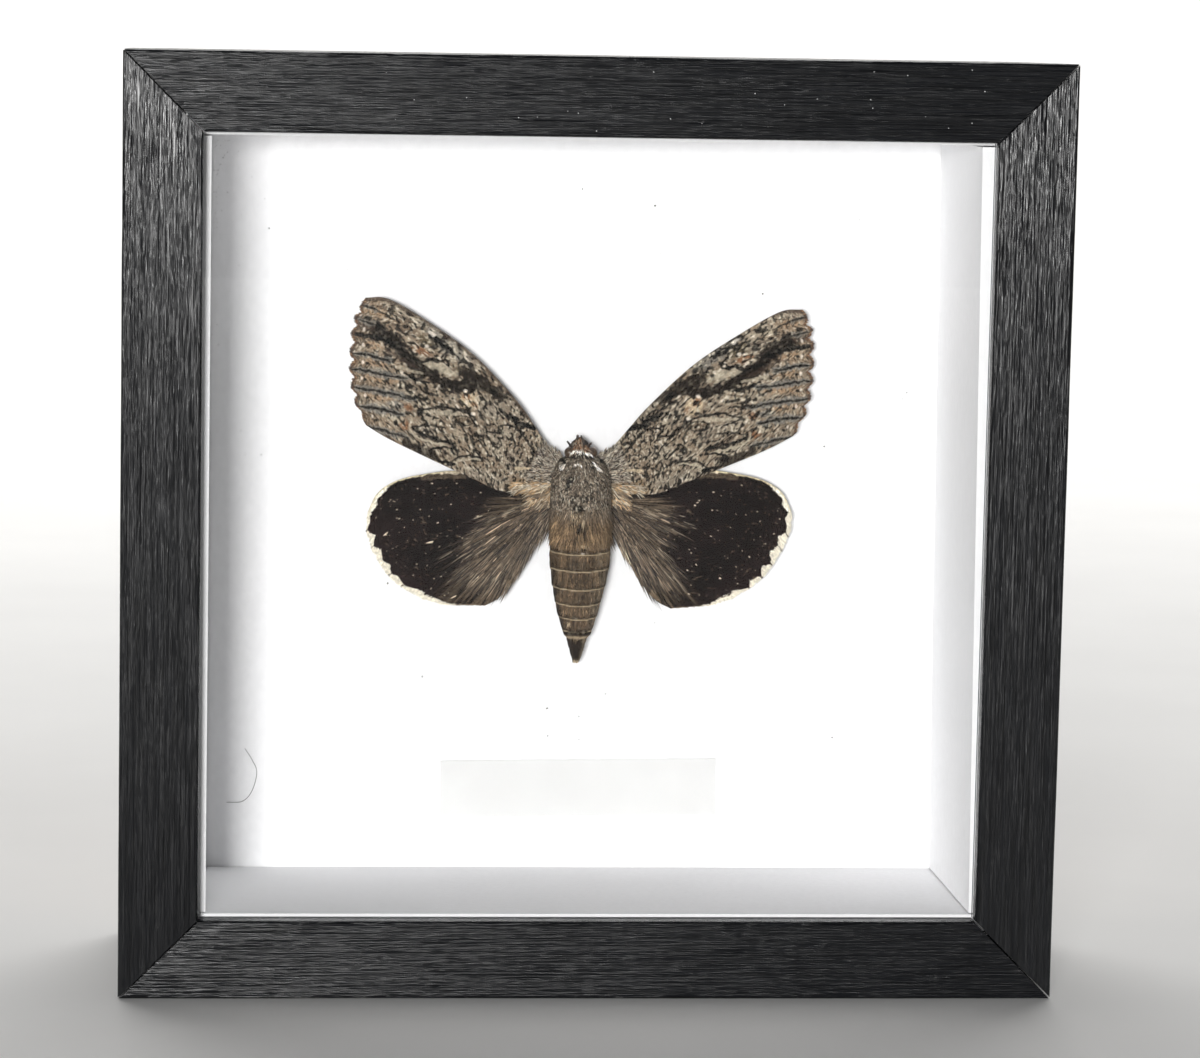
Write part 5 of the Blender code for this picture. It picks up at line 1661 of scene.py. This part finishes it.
def build_camera():
    """The camera where the picture was taken from."""
    turn, rise, roll = (math.radians(value) for value in (CAMERA_TURN, CAMERA_RISE, CAMERA_ROLL))
    back = Vector((math.sin(turn) * math.cos(rise), -math.cos(turn) * math.cos(rise), math.sin(rise)))
    side = (-back).cross(Vector((0.0, 0.0, 1.0))).normalized()
    up = side.cross(-back)
    rolled_side = side * math.cos(roll) + up * math.sin(roll)
    rolled_up = up * math.cos(roll) - side * math.sin(roll)
    data = bpy.data.cameras.new("camera")
    data.sensor_width = SENSOR
    data.lens = CAMERA_LENS * SENSOR / PICTURE[0]
    data.shift_x = (PICTURE[0] / 2 - CAMERA_AXIS[0]) / PICTURE[0]
    data.shift_y = (CAMERA_AXIS[1] - PICTURE[1] / 2) / PICTURE[0]
    data.clip_start = 0.01
    data.clip_end = 20.0
    camera = add_object("camera", data)
    right, behind, high = CAMERA_PLACE
    axes = Matrix((rolled_side, rolled_up, back)).transposed().to_4x4()
    place = Vector((right * MM, FRONT_Y + behind * MM, (high + HALF) * MM))
    camera.matrix_world = Matrix.Translation(place) @ axes
    bpy.context.scene.camera = camera


def add_light(name, place, aim, size, power, colour):
    """A soft rectangular light."""
    data = bpy.data.lights.new(name, "AREA")
    data.shape = "RECTANGLE"
    data.size, data.size_y = size
    data.energy = power
    data.color = colour
    light = add_object(name, data)
    light.location = place
    light.rotation_mode = "QUATERNION"
    light.rotation_quaternion = (Vector(aim) - Vector(place)).to_track_quat("-Z", "Y")


class FRAMEDMOTH_OT_stage(bpy.types.Operator):
    """Set up the floor, the lights and the camera."""

    bl_idname = "framed_moth.stage"
    bl_label = "Stage"

    def execute(self, context):
        """Build what isn't part of the object."""
        settings = context.scene.framed_moth
        nodes = Nodes("floor_plaster", 0.75)
        base = tuple(settings.floor_colour)
        cloud = nodes.noise(nodes.place(), 9.0, 4.0)
        nodes.colour(nodes.mix(cloud, tuple(0.96 * value for value in base), base))
        bend, radius, wide = FLOOR["bend"], FLOOR["radius"], FLOOR["half_width"]
        profile = [(FLOOR["front"], 0.0), (bend, 0.0)]
        profile += [(bend + y, radius + z) for y, z in arc((0.0, 0.0), radius, 270, 360, 12)[1:]]
        profile.append((bend + radius, FLOOR["top"]))
        points = np.array([(x, y, z) for x in (-wide, wide) for y, z in profile])
        faces = grid_quads(2, len(profile))
        floor = make_piece("floor", points, faces, nodes.material)
        add_light("key", *KEY_LIGHT, settings.key_power, (1.0, 0.995, 0.985))
        add_light("backdrop", *BACKDROP_LIGHT, settings.back_power, (1.0, 1.0, 1.0))
        world = bpy.data.worlds.new("studio")
        world.use_nodes = True
        ground = world.node_tree.nodes["Background"]
        ground.inputs["Color"].default_value = (0.93, 0.96, 1.0, 1.0)
        ground.inputs["Strength"].default_value = settings.sky
        context.scene.world = world
        context.scene.view_settings.view_transform = "Standard"
        build_camera()
        return {"FINISHED"}


OPERATORS = (
    FRAMEDMOTH_OT_stage,
    FRAMEDMOTH_OT_rails,
    FRAMEDMOTH_OT_case,
    FRAMEDMOTH_OT_label,
    FRAMEDMOTH_OT_back,
    FRAMEDMOTH_OT_forewings,
    FRAMEDMOTH_OT_hindwings,
    FRAMEDMOTH_OT_body,
    FRAMEDMOTH_OT_dust,
)


class FRAMEDMOTH_PT_panel(bpy.types.Panel):
    """Lists the settings and the steps that build the object."""

    bl_idname = "FRAMEDMOTH_PT_panel"
    bl_label = "Framed Moth"
    bl_space_type = "VIEW_3D"
    bl_region_type = "UI"
    bl_category = "Framed Moth"

    def draw(self, context):
        """Draw the settings and one button for each step."""
        settings = context.scene.framed_moth
        for name in FramedMothSettings.__annotations__:
            self.layout.prop(settings, name)
        for operator in OPERATORS:
            self.layout.operator(operator.bl_idname)


CLASSES = (FramedMothSettings, *OPERATORS, FRAMEDMOTH_PT_panel)


def register():
    """Register the classes and the settings."""
    for item in CLASSES:
        bpy.utils.register_class(item)
    bpy.types.Scene.framed_moth = PointerProperty(type=FramedMothSettings)


def unregister():
    """Remove the settings and the classes."""
    del bpy.types.Scene.framed_moth
    for item in reversed(CLASSES):
        bpy.utils.unregister_class(item)


def main():
    """Build every piece."""
    register()
    for operator in OPERATORS:
        group, step = operator.bl_idname.split(".")
        getattr(getattr(bpy.ops, group), step)()
    bpy.context.view_layer.update()


if __name__ == "__main__":
    main()
